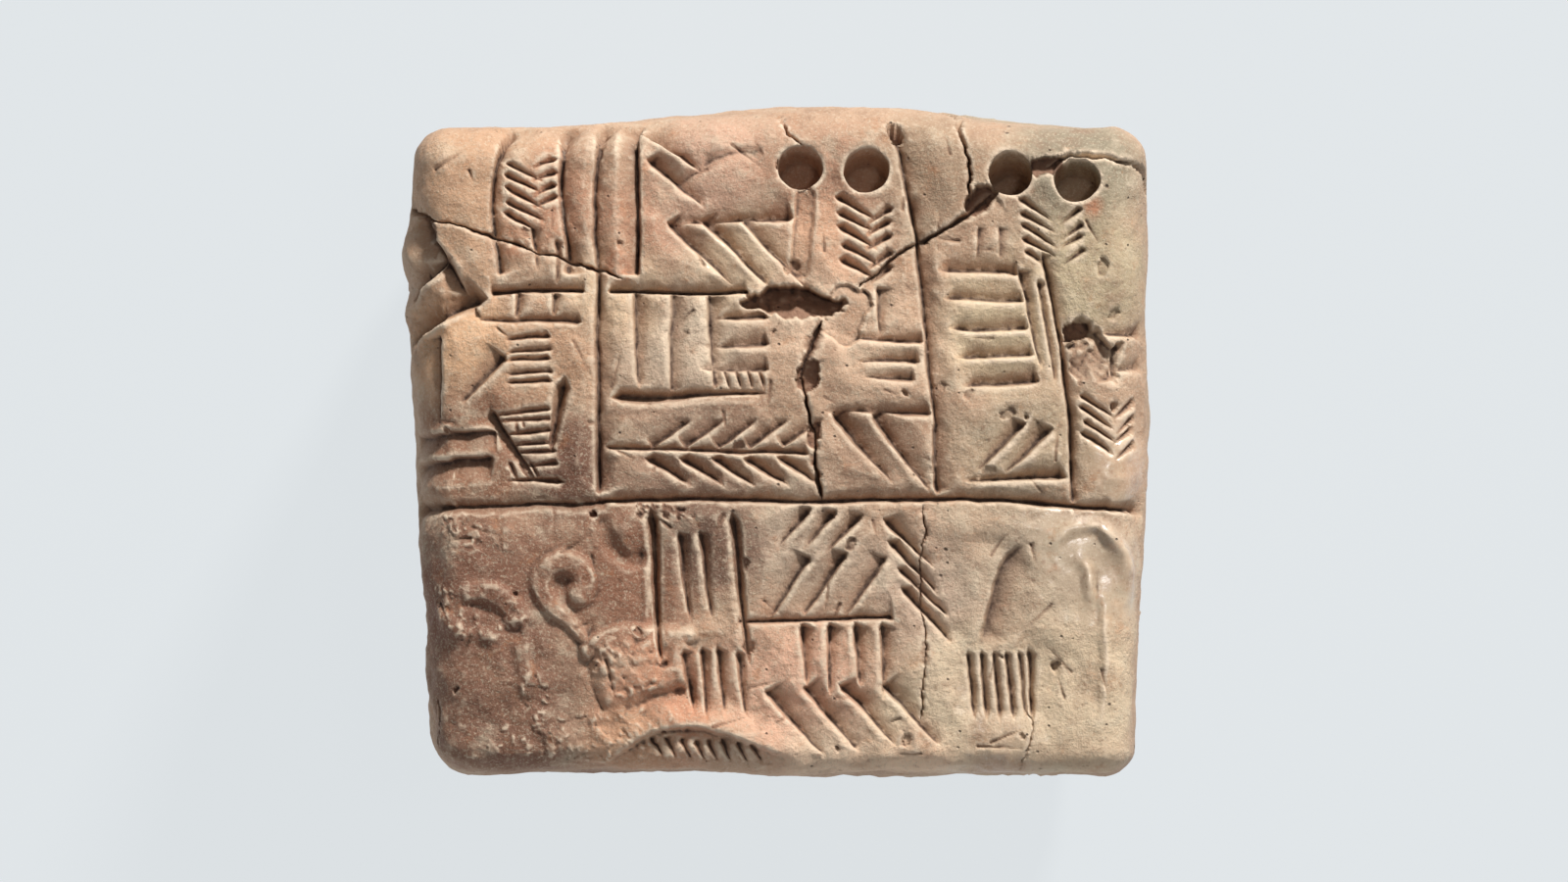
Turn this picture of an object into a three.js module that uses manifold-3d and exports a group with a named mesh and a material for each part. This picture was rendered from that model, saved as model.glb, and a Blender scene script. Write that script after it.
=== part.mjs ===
// Cuneiform tablet: one thick, hand-formed block of clay, lying on its back.
// Lengths are millimetres. +X runs to the right along the written face, +Y to its head and +Z up, out of it.
// The origin is under the middle of the block, on the surface that it lies on.
import * as THREE from 'three';
import { mergeVertices } from 'three/addons/utils/BufferGeometryUtils.js';
import Module from 'manifold-3d';

// Overall sizes.
const width = 60;
const height = 54.5;
const thickness = 41.5;

// The block before its outline is bent: half sizes, and how far the edges round over along each axis.
const half = new THREE.Vector3(30, 26.4, 20.5);
const edgeRound = new THREE.Vector3(2.8, 2.6, 4.2);
const footRound = new THREE.Vector3(2.8, 2.0, 2.3); // the same along the foot
const footBlend = { from: 9, to: 3 }; // distances from the foot over which one turns into the other
const backRound = new THREE.Vector3(5.4, 5.0, 9.0); // and round the back
const backBlend = half.z / 2; // how far above and below the middle one turns into the other
const dome = { face: 1.3, back: 2.4 };
const taper = { face: 0.9, back: 2.6 }; // how far the sides draw in, up to the face and down to the back
const restSpot = 1.5; // depth that the back's dome is pressed flat by
const grid = { x: 16, y: 14, z: 8 };
const crowding = 1.9; // above 1, the grid is finer towards the edges

// Everything pressed in has a broad slope on one side of its run and a steep wall on the other.
const left = 1;
const right = -1;
const stroke = { depth: 0.8, broad: 1.2, steep: 0.24, tail: 0.4, side: left };
const ruling = { depth: 0.9, broad: 1.3, steep: 0.35, side: left };
const tailNarrowing = 0.7; // how fast a stroke's slope narrows as it gets shallower
const above = 0.35; // how far a cutter stands out of the clay
const smallest = 0.02; // a step in the surface that is smaller than this is left out

// A number hole widens a little to its mouth, and runs down towards the foot of the face.
const hole = { radius: 1.8, floorRadius: 1.68, depth: 3.7, lean: 19, sides: 20, standOut: 2 };

// Low relief left by the rolled seal.
const relief = { band: 0.62, neckBand: 0.7, rise: 0.38, rumpRise: 0.55, sides: 5 };
const field = { bury: 1.5, bevel: 0.4, steps: 2 }; // a raised field: its buried foot, and its rounded rim

const degree = Math.PI / 180;
const bell = (value, middle, spread) => Math.exp(-(((value - middle) / spread) ** 2) / 2);

// ---- The block ----

// The four edges of the outline, seen from above. The head bulges, and the left side leans in to the foot.
const outline = {
  head: (x) => 25.3 + 1.95 * bell(x, 6, 11.5),
  foot: (x) => -26.6 - 0.4 * bell(x, 0, 5) - 0.55 * bell(x, 24, 9),
  left: (y) => -29.2 - 0.65 * bell(y, 14, 5) + 0.0021 * Math.max(0, 5 - y) ** 2,
  right: (y) => 29.8 - 0.0009 * (y - 8) ** 2,
};

// Moves a point of the unit cube to its place on the block.
function blockPoint(cubePoint) {
  const crowd = (t) => Math.sign(t) * (1 - (1 - Math.abs(t)) ** crowding);
  const p = new THREE.Vector3(crowd(cubePoint.x), crowd(cubePoint.y), crowd(cubePoint.z)).multiply(half);

  // The edges are rounded as on an ellipsoid, more tightly along the foot and more widely round the back.
  const toFoot = THREE.MathUtils.smoothstep(-p.y, half.y - footBlend.from, half.y - footBlend.to);
  const toBack = THREE.MathUtils.smoothstep(-p.z, -backBlend, backBlend);
  const round = edgeRound.clone().lerp(footRound, toFoot).lerp(backRound, toBack);
  const core = half.clone().sub(round);
  const inner = p.clone().clamp(core.clone().negate(), core);
  const over = p.clone().sub(inner).divide(round);
  const rounded = over.lengthSq() > 0 ? inner.add(over.normalize().multiply(round)) : p;

  // The outline is bent, the sides draw in above and below, and both faces are domed.
  const across = (rounded.x / half.x + 1) / 2;
  const along = (rounded.y / half.y + 1) / 2;
  const x = THREE.MathUtils.lerp(outline.left(rounded.y), outline.right(rounded.y), across);
  const y = THREE.MathUtils.lerp(outline.foot(rounded.x), outline.head(rounded.x), along);
  const level = rounded.z / half.z;
  const toward = level > 0 ? 'face' : 'back';
  const draw = 1 - (taper[toward] / half.x) * level ** 2;
  const rise = dome[toward] * (1 - (rounded.x / half.x) ** 2) * (1 - (rounded.y / half.y) ** 2);
  return new THREE.Vector3(x * draw, y * draw, rounded.z + rise * level);
}

// The whole block, brought to its exact overall sizes with its flat spot at z = 0.
function blockGeometry() {
  const geometry = new THREE.BoxGeometry(2, 2, 2, grid.x, grid.y, grid.z);
  const position = geometry.getAttribute('position');
  const lowest = -half.z - dome.back + restSpot;
  for (let i = 0; i < position.count; i += 1) {
    const p = blockPoint(new THREE.Vector3().fromBufferAttribute(position, i));
    position.setXYZ(i, p.x, p.y, Math.max(p.z, lowest));
  }
  geometry.computeBoundingBox();
  const { min, max } = geometry.boundingBox;
  geometry.translate(-(min.x + max.x) / 2, -(min.y + max.y) / 2, -min.z);
  geometry.scale(width / (max.x - min.x), height / (max.y - min.y), thickness / (max.z - min.z));
  return geometry;
}

// ---- Finding the surface ----

const block = new THREE.Mesh(blockGeometry());
const ray = new THREE.Raycaster();
const farOut = 100; // lines that look for the surface start this far out
const edgeDepth = 8; // lines that look for a rounded edge meet this far under the face

// The place and outward normal where a line from outside first meets the block.
function surfaceAt(from, towards) {
  ray.set(from, towards.clone().sub(from).normalize());
  const hit = ray.intersectObject(block)[0];
  return { point: hit.point, normal: hit.face.normal.clone() };
}

const onFace = ([x, y]) => surfaceAt(new THREE.Vector3(x, y, farOut), new THREE.Vector3(x, y, 0));

// A place on the rounded edge: turn 90 is on the written face, and 0 on the side that reach points at.
function onEdge([x, y], reach, turn) {
  const core = new THREE.Vector3(x, y, thickness - edgeDepth);
  const out = new THREE.Vector3(reach.x, reach.y, 0).multiplyScalar(Math.cos(turn * degree));
  out.z = Math.sin(turn * degree);
  return surfaceAt(core.clone().addScaledVector(out, farOut), core);
}

// ---- Solids ----

const wasm = await Module();
wasm.setup();

const sameVertex = 1e-4; // vertices closer than this are one

function solidFrom(geometry) {
  const plain = new THREE.BufferGeometry();
  plain.setAttribute('position', geometry.getAttribute('position').clone());
  plain.setIndex(geometry.index);
  const merged = mergeVertices(plain, sameVertex);
  return new wasm.Manifold(new wasm.Mesh({
    numProp: 3,
    vertProperties: new Float32Array(merged.getAttribute('position').array),
    triVerts: new Uint32Array(merged.index.array),
  }));
}

// A closed strip with a three-cornered section at each place along it: one corner at tip and two on the base.
function wedgeStrip(sections) {
  const position = sections.flatMap(({ tip, base }) => [tip, ...base].flatMap((p) => p.toArray()));
  const index = [0, 1, 2];
  for (let i = 0; i + 1 < sections.length; i += 1) {
    for (let k = 0; k < 3; k += 1) {
      const a = 3 * i + k;
      const b = 3 * i + ((k + 1) % 3);
      index.push(a, a + 3, b, b, a + 3, b + 3);
    }
  }
  const last = 3 * (sections.length - 1);
  index.push(last, last + 2, last + 1);
  const geometry = new THREE.BufferGeometry();
  geometry.setAttribute('position', new THREE.Float32BufferAttribute(position, 3));
  geometry.setIndex(index);
  return geometry;
}

// A groove along places on the surface. Each place has its own depth, broad slope and steep wall, and side
// says whether the slope is on the left or on the right of the run.
function groove(places) {
  const sections = places.map(({ point, normal, depth, broad, steep, side }, i) => {
    const before = places[Math.max(i - 1, 0)].point;
    const after = places[Math.min(i + 1, places.length - 1)].point;
    const toRight = after.clone().sub(before).cross(normal).normalize();
    const spread = 1 + above / depth;
    const [onRight, onLeft] = side === left ? [steep, broad] : [broad, steep];
    const top = point.clone().addScaledVector(normal, above);
    return {
      tip: point.clone().addScaledVector(normal, -depth),
      base: [
        top.clone().addScaledVector(toRight, onRight * spread),
        top.clone().addScaledVector(toRight, -onLeft * spread),
      ],
    };
  });
  const made = solidFrom(wedgeStrip(sections));
  if (made.volume() < 0) throw new Error('a groove is inside out');
  return made;
}

// ---- Case lines ----

// Each line is a run of points on the written face, from its head or its left end, and what differs from
// ruling.
const caseLines = [
  // The line over the lower register, in two runs.
  [[[-27.6, -5.3], [-21, -5.0], [-13.4, -4.85]], { depth: 0.65, broad: 0.9, steep: 0.6 }],
  [[[-15.2, -4.85], [-6, -4.6], [3.3, -4.8], [12.4, -4.6], [20, -4.9], [28, -5.5]],
    { broad: 1.1, steep: 0.2 }],
  // The three column lines.
  [[[-14.1, 24.6], [-14.4, 18], [-14.3, 11.8], [-14.2, 4], [-14.2, -4.3]], {}],
  [[[9.4, 24.8], [10.4, 20], [11.2, 15.6], [11.9, 7.9], [12.5, 2], [12.7, -4.6]], {}],
  [[[21.2, 15.2], [22.1, 10.4], [23.1, 4], [23.7, -5.2]], { broad: 1.1 }],
  // Lines of single cases.
  [[[-13.6, 11.9], [-8, 11.8], [-2.4, 12.0]], { broad: 1.3, steep: 0.18 }],
  [[[-22.9, 11.8], [-19, 12.0], [-15.3, 11.9]], { broad: 1.0, steep: 0.2 }],
  [[[-3.2, -14.4], [3, -14.2], [9.4, -14.0]], { depth: 0.7, broad: 0.8, steep: 0.25 }],
  // Three long uprights that come from the head of the face.
  [[[-21.6, 24.4], [-22.6, 20.6], [-22.5, 16.8], [-22.0, 13.2]], { broad: 1.1 }],
  [[[-16.9, 24.4], [-17.1, 20.2], [-16.7, 16.4], [-16.7, 13.2]], { steep: 0.4 }],
  [[[-11.1, 24.6], [-11.2, 22.0], [-11.1, 18.0], [-11.1, 13.0]], { broad: 1.9, steep: 0.25, side: right }],
  // A soft furrow that the hand left, low on the right.
  [[[20.0, -8.0], [18.4, -9.6], [17.6, -11.2], [17.2, -13.2], [16.2, -16.9]],
    { depth: 0.6, broad: 2.5, steep: 0.6 }],
];

const rulingCuts = caseLines.map(([line, differs]) => groove(
  line.map((at) => ({ ...onFace(at), ...ruling, ...differs })),
));

// ---- Number holes ----

// A round reed was pushed in with its butt leaning towards the head, four times.
const holes = [
  { at: [1.9, 21.9] },
  { at: [7.1, 21.7] },
  { at: [18.6, 21.4], depth: 5.4 },
  { at: [23.9, 20.9] },
];

function holeCut({ at, depth = hole.depth }) {
  const { point } = onFace(at);
  const length = depth + hole.standOut;
  const reed = new THREE.CylinderGeometry(hole.radius, hole.floorRadius, length, hole.sides);
  reed.translate(0, hole.standOut - length / 2, 0);
  reed.rotateX(90 * degree - hole.lean * degree);
  reed.translate(point.x, point.y, point.z);
  return solidFrom(reed);
}

const holeCuts = holes.map(holeCut);

// ---- Strokes ----

// A row of strokes: at is the head of the first one, step leads to the next, lean is the way a stroke runs in
// degrees from +X, and differs holds what is not as in stroke. Each stroke is longer than the last by grow.
const row = (at, step, count, lean, length, differs = {}) => ({ at, step, count, lean, length, ...differs });
const one = (at, lean, length, differs) => row(at, [0, 0], 1, lean, length, differs);

const strokeRows = [
  // First column, upper case: two stacks of short strokes, and short uprights under them.
  row([-21.4, 22.2], [0, -1.05], 5, -27, 2.7, { depth: 0.75, broad: 0.66, steep: 0.2 }),
  row([-17.7, 22.5], [0.05, -1.05], 4, 205, 1.5, { depth: 0.75, broad: 0.66, steep: 0.2, side: right }),
  row([-19.4, 17], [1.9, -1.3], 2, -88, 3, { depth: 0.7, broad: 0.9 }),
  // First column, lower case: uprights under the case line, level strokes, and two stacks below them.
  row([-20.6, 11.6], [2.8, 0], 2, -90, 1.9, { depth: 0.8, broad: 1.1 }),
  one([-15.9, 9.4], 180, 7.2, { depth: 0.9, broad: 1, side: right }),
  row([-18.1, 8.2], [0, -0.86], 5, 183, 2.9,
    { depth: 0.55, broad: 0.6, steep: 0.16, tail: 0.7, side: right }),
  row([-18.2, 2.7], [0.1, -0.88], 6, 184, 4.4,
    { grow: -0.35, depth: 0.6, broad: 0.6, steep: 0.18, side: right }),
  one([-17, 4.3], -101, 4.3, { depth: 1.7, broad: 0.8, steep: 0.6, tail: 0.6 }),
  one([-22.6, 2.3], -57, 5.4, { depth: 1.2, broad: 1.3, steep: 0.3, side: right }),
  row([-21.4, -1.8], [0.85, 0], 3, -62, 1.3, { depth: 0.5, broad: 0.45, steep: 0.2 }),
  one([-17.4, -3.3], 180, 3.6, { depth: 1, broad: 0.5, steep: 0.2, side: right }),
  // Second column, upper case: two slanting strokes, then three under a level one, and two stacks.
  row([-10.4, 24.9], [0.3, -2.7], 2, -40, 4.8, { depth: 1.3, broad: 1.9, steep: 0.3 }),
  one([0.9, 17.8], 180, 9, { depth: 1.1, broad: 1.7, steep: 0.2, side: right }),
  row([-8.5, 17.3], [2.9, 0.1], 3, -45, 6.8, { depth: 1.1, broad: 1.9 }),
  row([4.9, 19.4], [0.1, -1.25], 5, -28, 2.8, { depth: 0.95, broad: 0.8 }),
  row([9, 18.6], [0, -1.2], 5, 212, 1.8, { depth: 0.85, broad: 0.75, side: right }),
  // Second column, lower case: uprights, a stack of level strokes with ticks under it, and slanting rows.
  row([-11.3, 11.6], [2.9, 0], 3, -88, 7, { depth: 1, broad: 2, tail: 0.6 }),
  row([-1, 9.9], [0, -2.1], 3, 180, 4.2, { depth: 0.8, broad: 1.4, tail: 0.7, side: right }),
  row([-5, 5.6], [0.9, 0], 5, -75, 1.3, { depth: 0.5, broad: 0.45, steep: 0.16 }),
  one([-12.4, 3.4], 1, 11.6, { depth: 1.7, broad: 1, steep: 0.45, tail: 0.3 }),
  row([-9.9, -0.3], [2.6, 0], 5, 34, 3, { depth: 0.9, broad: 1.4, steep: 0.2, tail: 0.7 }),
  one([2.2, -1.1], 180, 15.2, { depth: 0.9, broad: 0.9, steep: 0.18, tail: 0.7, side: right }),
  row([-10, -1.5], [2.6, 0], 5, -34, 3, { depth: 1.1, broad: 1.4, tail: 0.6 }),
  // Second column, right-hand case.
  one([7.9, 12.2], -88, 3.8, { depth: 0.8, broad: 1.6 }),
  row([11.4, 7.8], [-0.4, -1.45], 3, 176, 5.4, { grow: -1.1, depth: 0.85, broad: 1.3, side: right }),
  one([11.9, 2.2], 180, 7.3, { depth: 0.95, broad: 1.3, side: right }),
  row([4.7, 1.9], [3, 0], 2, -51, 6.4, { depth: 1.3, broad: 2, steep: 0.3 }),
  // Third column: two faint uprights, level strokes beside two uprights, and a slanting pair under them.
  row([16.2, 17], [1.7, -0.1], 2, -90, 3, { depth: 0.22, broad: 0.9 }),
  row([19, 13.4], [0.35, -2.15], 5, 181, 5, { depth: 0.95, broad: 1.6, steep: 0.2, tail: 0.8, side: right }),
  row([19.5, 13.5], [1.5, -1], 2, -81, 7.8, { depth: 0.85, broad: 1.2 }),
  row([19.5, 1.3], [2.2, -0.6], 2, 222, 4.8, { depth: 1.1, broad: 1.8, side: right }),
  one([22.6, -2.9], 180, 7.4, { depth: 1.2, broad: 1.5, steep: 0.2, side: right }),
  // Fourth column: two pairs of stacks, and level strokes that run in from the edge between them.
  row([19.5, 19.1], [0.12, -1], 5, -32, 2.5, { depth: 0.7, broad: 0.62, steep: 0.2 }),
  row([24.2, 18.3], [0.05, -1], 4, 215, 1.6, { depth: 0.65, broad: 0.58, steep: 0.2, side: right }),
  row([28.9, 8.3], [0, -2.5], 2, 180, 2.5, { depth: 0.75, broad: 1.6, side: right }),
  row([24.2, 3.7], [0.08, -1.05], 4, -33, 2.6, { depth: 0.7, broad: 0.62, steep: 0.2 }),
  row([28.6, 3], [0, -1.05], 4, 216, 1.7, { depth: 0.7, broad: 0.62, steep: 0.2, side: right }),
  // Lower register, left of its middle: two rows of uprights, of which the outer two are deep.
  row([-9.9, -6.2], [6.4, 0], 2, -85, 10.4, { depth: 1.8, broad: 0.6, steep: 0.5, tail: 0.5 }),
  row([-7.9, -7.4], [1.8, 0], 2, -84, 6.6, { depth: 1, broad: 0.9, steep: 0.3 }),
  row([-7.4, -16.9], [1.4, 0], 4, -84, 4.4, { depth: 1, broad: 0.95, steep: 0.3 }),
  // Lower register, middle: slanting strokes, uprights, and longer slanting strokes under them.
  row([2.3, -5.5], [2.1, -0.4], 3, 228, 3, { depth: 1.2, broad: 1.3, side: right }),
  row([2.4, -9.3], [3, 0], 3, 236, 5.4, { depth: 1, broad: 1.8, side: right }),
  row([2, -14.9], [2.15, 0], 4, -88, 4.6, { depth: 1.2, broad: 1.3, steep: 0.3 }),
  row([-0.8, -20.1], [3.1, 0.2], 4, -48, 5.8, { depth: 1, broad: 2 }),
  // Lower register, right of its middle: a ragged slanting stack and a row of uprights.
  row([8.8, -6.4], [0.5, -1.9], 4, -45, 4.6, { depth: 1.2, broad: 1.4 }),
  row([15.4, -17], [0.93, 0.03], 5, -84, 4.1, { depth: 0.75, broad: 0.6, steep: 0.2, tail: 1 }),
  one([19.9, -16.8], -86, 4.4, { depth: 1.2, broad: 0.6, steep: 0.3, tail: 0.8 }),
  // Along the foot: a row of ticks.
  row([-9.9, -23.7], [1.12, -0.05], 8, -62, 1.5, { depth: 0.5, broad: 0.6, steep: 0.25 }),
];

function strokeCuts({ at, step, count, lean, length, grow = 0, ...differs }) {
  const shape = { ...stroke, ...differs };
  const atTail = { depth: shape.depth * shape.tail, broad: shape.broad * shape.tail ** tailNarrowing };
  return Array.from({ length: count }, (_, i) => {
    const run = length + grow * i;
    const head = [at[0] + step[0] * i, at[1] + step[1] * i];
    const tail = [head[0] + run * Math.cos(lean * degree), head[1] + run * Math.sin(lean * degree)];
    return groove([
      { ...onFace(head), ...shape },
      { ...onFace(tail), ...shape, ...atTail, steep: shape.steep * shape.tail },
    ]);
  });
}

// Broad strokes that run over the left edge of the face and down the side. from lies on the face, outY is
// where the stroke crosses the outline, and turn is how far down the side it goes.
const edgeStrokes = [
  { from: [-24.7, 12.6], outY: 14.6, turn: 30, broad: 2.2, steep: 0.5, depth: 1.3 },
  { from: [-23.8, 11.0], outY: 8.4, turn: 25, broad: 2.6, steep: 0.5, depth: 1.5 },
  { from: [-22.6, 0.9], outY: 0.4, turn: 20, broad: 2, steep: 0.4, depth: 0.9, side: left },
  { from: [-23.0, -1.2], outY: -1.7, turn: 20, broad: 2, steep: 0.4, depth: 0.9, side: left },
];
const edgeCore = -22; // the strokes wrap the edge about a line this far to the left
const edgeTurns = [58, 40];
const edgeFade = 0.25; // how deep and wide a stroke still is where it runs out on the side

function edgeCut({ from, outY, turn, side = right, depth, broad, steep }) {
  const overEdge = (t) => onEdge([edgeCore, outY], { x: -1, y: 0 }, t);
  const shape = { depth, broad, steep, side };
  const end = { depth: depth * edgeFade, broad: broad * edgeFade, steep: steep * edgeFade, side };
  return groove([
    { ...onFace(from), ...shape },
    ...edgeTurns.map((t) => ({ ...overEdge(t), ...shape })),
    { ...overEdge(turn), ...end },
  ]);
}

// ---- Breaks ----

// The tablet was broken and joined again. The open joints are narrow cracks, and flakes are lost beside them.
const cracks = [
  { line: [[-27.9, 17.8], [-24.9, 17.1], [-21.7, 15.9], [-16.6, 14.3], [-12.0, 13.0]], halfWidth: 0.16 },
  { line: [[14.2, 25.2], [15.1, 23.4], [15.5, 20.8], [15.3, 18.3]], halfWidth: 0.16 },
  { line: [[28.2, 22.3], [25.4, 23.0], [23.4, 22.9], [21.2, 21.6]], halfWidth: 0.24 },
  { line: [[17.4, 19.8], [15.2, 18.2], [13.4, 17.0], [11.3, 15.8]], halfWidth: 0.34, depth: 1.8 },
  { line: [[11.3, 15.8], [9.2, 14.6], [7.4, 13.1], [6.4, 12.2]], halfWidth: 0.17 },
  { line: [[3.6, 9.6], [2.0, 5.6], [2.4, 3.2], [3.0, 0], [3.5, -4.8]], halfWidth: 0.26 },
  { line: [[11.6, -4.6], [11.8, -8], [11.4, -12], [11.8, -16], [11.4, -22.5]], halfWidth: 0.1, depth: 0.9 },
  { line: [[0.1, 25.8], [0.8, 24.6], [2.0, 23.5]], halfWidth: 0.1, depth: 0.8 },
];
const crackDepth = 1.4;

function crackCut({ line, halfWidth, depth = crackDepth }) {
  const shape = { depth, broad: halfWidth, steep: halfWidth, side: left };
  return groove(line.map((at) => ({ ...onFace(at), ...shape })));
}

// Lost flakes: flat-bottomed hollows with a ragged, many-cornered rim.
const flakes = [
  { at: [1.3, 11.1], radius: 1.35, stretch: 3.1, turn: -5, depth: 1.9, corners: 9 },
  { at: [5.4, 10.3], radius: 1.9, stretch: 1.2, turn: 60, depth: 0.42, corners: 7 },
  { at: [2.4, 5.2], radius: 0.9, stretch: 1.8, turn: 60, depth: 1.1, corners: 7 },
  { at: [16.0, 19.3], radius: 0.9, stretch: 1.6, turn: 38, depth: 1.7, corners: 7 },
  { at: [21.4, 21.9], radius: 0.75, stretch: 2.4, turn: 6, depth: 1.0, corners: 7 },
  { at: [25.2, 6.8], radius: 2.3, stretch: 1.25, turn: -40, depth: 0.8, corners: 8 },
  { at: [23.7, 8.8], radius: 0.8, stretch: 1.4, turn: 20, depth: 1.7, corners: 6 },
];

const flakeSpread = { mouth: 1.2, floor: 0.7 }; // a flake's walls lean out, as shares of its radius

function flakeCut({ at, radius, stretch, depth, corners, turn }) {
  const { point } = onFace(at);
  const { mouth, floor } = flakeSpread;
  const cut = new THREE.CylinderGeometry(radius * mouth, radius * floor, depth + above, corners);
  cut.rotateX(90 * degree);
  cut.scale(stretch, 1, 1);
  cut.rotateZ(turn * degree);
  cut.translate(point.x, point.y, point.z + (above - depth) / 2);
  return solidFrom(cut);
}

// ---- Seal relief ----

// A band of low relief that follows a curve over the face, rounded on top and sunk below the surface.
function reliefBand(points, radius) {
  const path = new THREE.CatmullRomCurve3(points.map((at) => {
    const { point } = onFace(at);
    return point.setZ(point.z + relief.rise - radius);
  }));
  const section = new THREE.Shape();
  section.absarc(0, 0, radius, 0, 2 * Math.PI);
  return solidFrom(new THREE.ExtrudeGeometry(section, {
    steps: 2 * points.length,
    curveSegments: relief.sides,
    bevelEnabled: false,
    extrudePath: path,
  }));
}

// A rolled animal: a curled tail, an arched neck over a lower lip, and a leg.
const tail = [[-15.6, -12.0], [-15.3, -11.0], [-15.9, -9.9], [-17.0, -9.5], [-18.3, -10.2], [-18.7, -11.5],
  [-17.9, -13.1], [-16.3, -14.5], [-14.8, -16.3]];
const neck = [[-25.4, -12.6], [-24.6, -12.0], [-23.2, -11.9], [-21.9, -12.3], [-20.8, -13.4], [-20.0, -14.9]];
const lip = [[-27.0, -12.6], [-26.4, -13.9], [-25.0, -15.1], [-23.0, -15.3], [-21.4, -14.8]];
const leg = [[-20.3, -15.4], [-20.2, -17.6], [-19.7, -21.0]];

// A raised field with a flat top inside an outline that runs counter-clockwise.
function reliefField(edge, rise) {
  const shape = new THREE.Shape(edge.map((at) => new THREE.Vector2(...at)));
  const { bury, bevel, steps } = field;
  const body = new THREE.ExtrudeGeometry(shape, {
    depth: bury, bevelEnabled: true, bevelThickness: bevel, bevelSize: bevel, bevelSegments: steps,
  });
  const middle = edge.reduce((sum, [x, y]) => sum.add(new THREE.Vector2(x, y)), new THREE.Vector2());
  const { point } = onFace(middle.divideScalar(edge.length).toArray());
  body.translate(0, 0, point.z + rise - bury - bevel);
  return solidFrom(body);
}

const rump = [[-14.4, -17.6], [-14.0, -19.2], [-13.2, -20.5], [-12.0, -20.4], [-10.3, -19.7], [-8.3, -19.1],
  [-7.4, -18.6], [-7.6, -15.5], [-9.9, -15.1], [-11.9, -15.1], [-13.4, -15.6], [-14.4, -16.5]];

const reliefSolids = [
  reliefBand(tail, relief.band),
  reliefBand(neck, relief.neckBand),
  reliefBand(lip, relief.band),
  reliefBand(leg, relief.band),
  reliefField(rump, relief.rumpRise),
];

// ---- The tablet ----

const cuts = [
  ...rulingCuts,
  ...holeCuts,
  ...strokeRows.flatMap(strokeCuts),
  ...edgeStrokes.map(edgeCut),
  ...cracks.map(crackCut),
  ...flakes.map(flakeCut),
];

const raised = reliefSolids.reduce((sum, solid) => sum.add(solid), solidFrom(block.geometry));
const carved = cuts.reduce((rest, cut) => rest.subtract(cut), raised);

// Slivers are smoothed away, and crumbs that the cuts leave loose between them fall away.
const [whole] = carved.simplify(smallest).decompose().sort((a, b) => b.volume() - a.volume());

function geometryFrom(solid) {
  const mesh = solid.getMesh();
  const geometry = new THREE.BufferGeometry();
  geometry.setAttribute('position', new THREE.BufferAttribute(mesh.vertProperties, mesh.numProp));
  geometry.setIndex(new THREE.BufferAttribute(mesh.triVerts, 1));
  geometry.computeVertexNormals();
  return geometry;
}

const clay = new THREE.MeshStandardMaterial({ color: 0xb48f6c, roughness: 0.78, metalness: 0 });

const tablet = new THREE.Mesh(geometryFrom(whole), clay);
tablet.name = 'tablet';

const model = new THREE.Group();
model.name = 'cuneiform_tablet';
model.add(tablet);

export default model;
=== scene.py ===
"""A thick clay tablet with rows of pressed strokes, lying on its back with its written face up.

Lengths are millimetres until a mesh, a lamp or the camera is made. +X runs to the right along the written
face, +Y to its head and +Z out of it, and the origin is under the middle of the block.
"""

import logging
import math
from collections.abc import Callable
from dataclasses import dataclass
from enum import Enum

import bmesh
import bpy
import numpy as np
from mathutils import Matrix, Vector


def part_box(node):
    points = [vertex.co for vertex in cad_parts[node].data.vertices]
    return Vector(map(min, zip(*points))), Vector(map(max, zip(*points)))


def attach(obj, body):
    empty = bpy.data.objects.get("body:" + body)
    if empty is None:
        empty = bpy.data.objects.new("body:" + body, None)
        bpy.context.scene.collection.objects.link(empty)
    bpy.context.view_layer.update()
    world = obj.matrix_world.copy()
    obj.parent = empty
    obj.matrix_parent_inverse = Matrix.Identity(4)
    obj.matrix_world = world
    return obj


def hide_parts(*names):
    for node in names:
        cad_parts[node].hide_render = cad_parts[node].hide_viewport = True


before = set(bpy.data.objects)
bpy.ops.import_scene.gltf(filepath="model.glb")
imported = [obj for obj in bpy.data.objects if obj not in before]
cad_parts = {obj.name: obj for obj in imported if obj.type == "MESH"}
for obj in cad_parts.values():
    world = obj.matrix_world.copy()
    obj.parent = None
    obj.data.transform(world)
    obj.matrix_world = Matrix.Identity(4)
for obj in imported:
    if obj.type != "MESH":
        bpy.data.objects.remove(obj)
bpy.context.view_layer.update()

LOG = logging.getLogger("tablet")
MM = 0.001
NEARLY_NONE = 1e-3

Spot = tuple[float, float]
Place = tuple[float, float, float]
Line = tuple[Spot, ...]
Colour = tuple[float, float, float, float]
Items = bpy.types.bpy_prop_collection
Socket = bpy.types.NodeSocket


# ---- Small tools ----


def bell(value: np.ndarray, middle: float, spread: float) -> np.ndarray:
    """Returns a smooth hump of height 1 at middle."""
    return np.exp(-(((value - middle) / spread) ** 2) / 2)


def ramp(value: np.ndarray, low: float | np.ndarray, high: float | np.ndarray) -> np.ndarray:
    """Returns 0 up to low and 1 from high, with a smooth rise between them."""
    share = np.clip((value - low) / (high - low), 0, 1)
    return share * share * (3 - 2 * share)


def both_ends(share: np.ndarray, start: float, end: float, slack: float = 0.0) -> np.ndarray:
    """Returns 1 along a line, with a smooth fall to 0 over those shares of its length at its ends."""
    return ramp(share, -slack, start) * ramp(-share, -1 - slack, -1 + end)


def heading(degrees: float) -> np.ndarray:
    """Returns the unit vector that runs that many degrees from +X."""
    return np.array([math.cos(math.radians(degrees)), math.sin(math.radians(degrees))])


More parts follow.
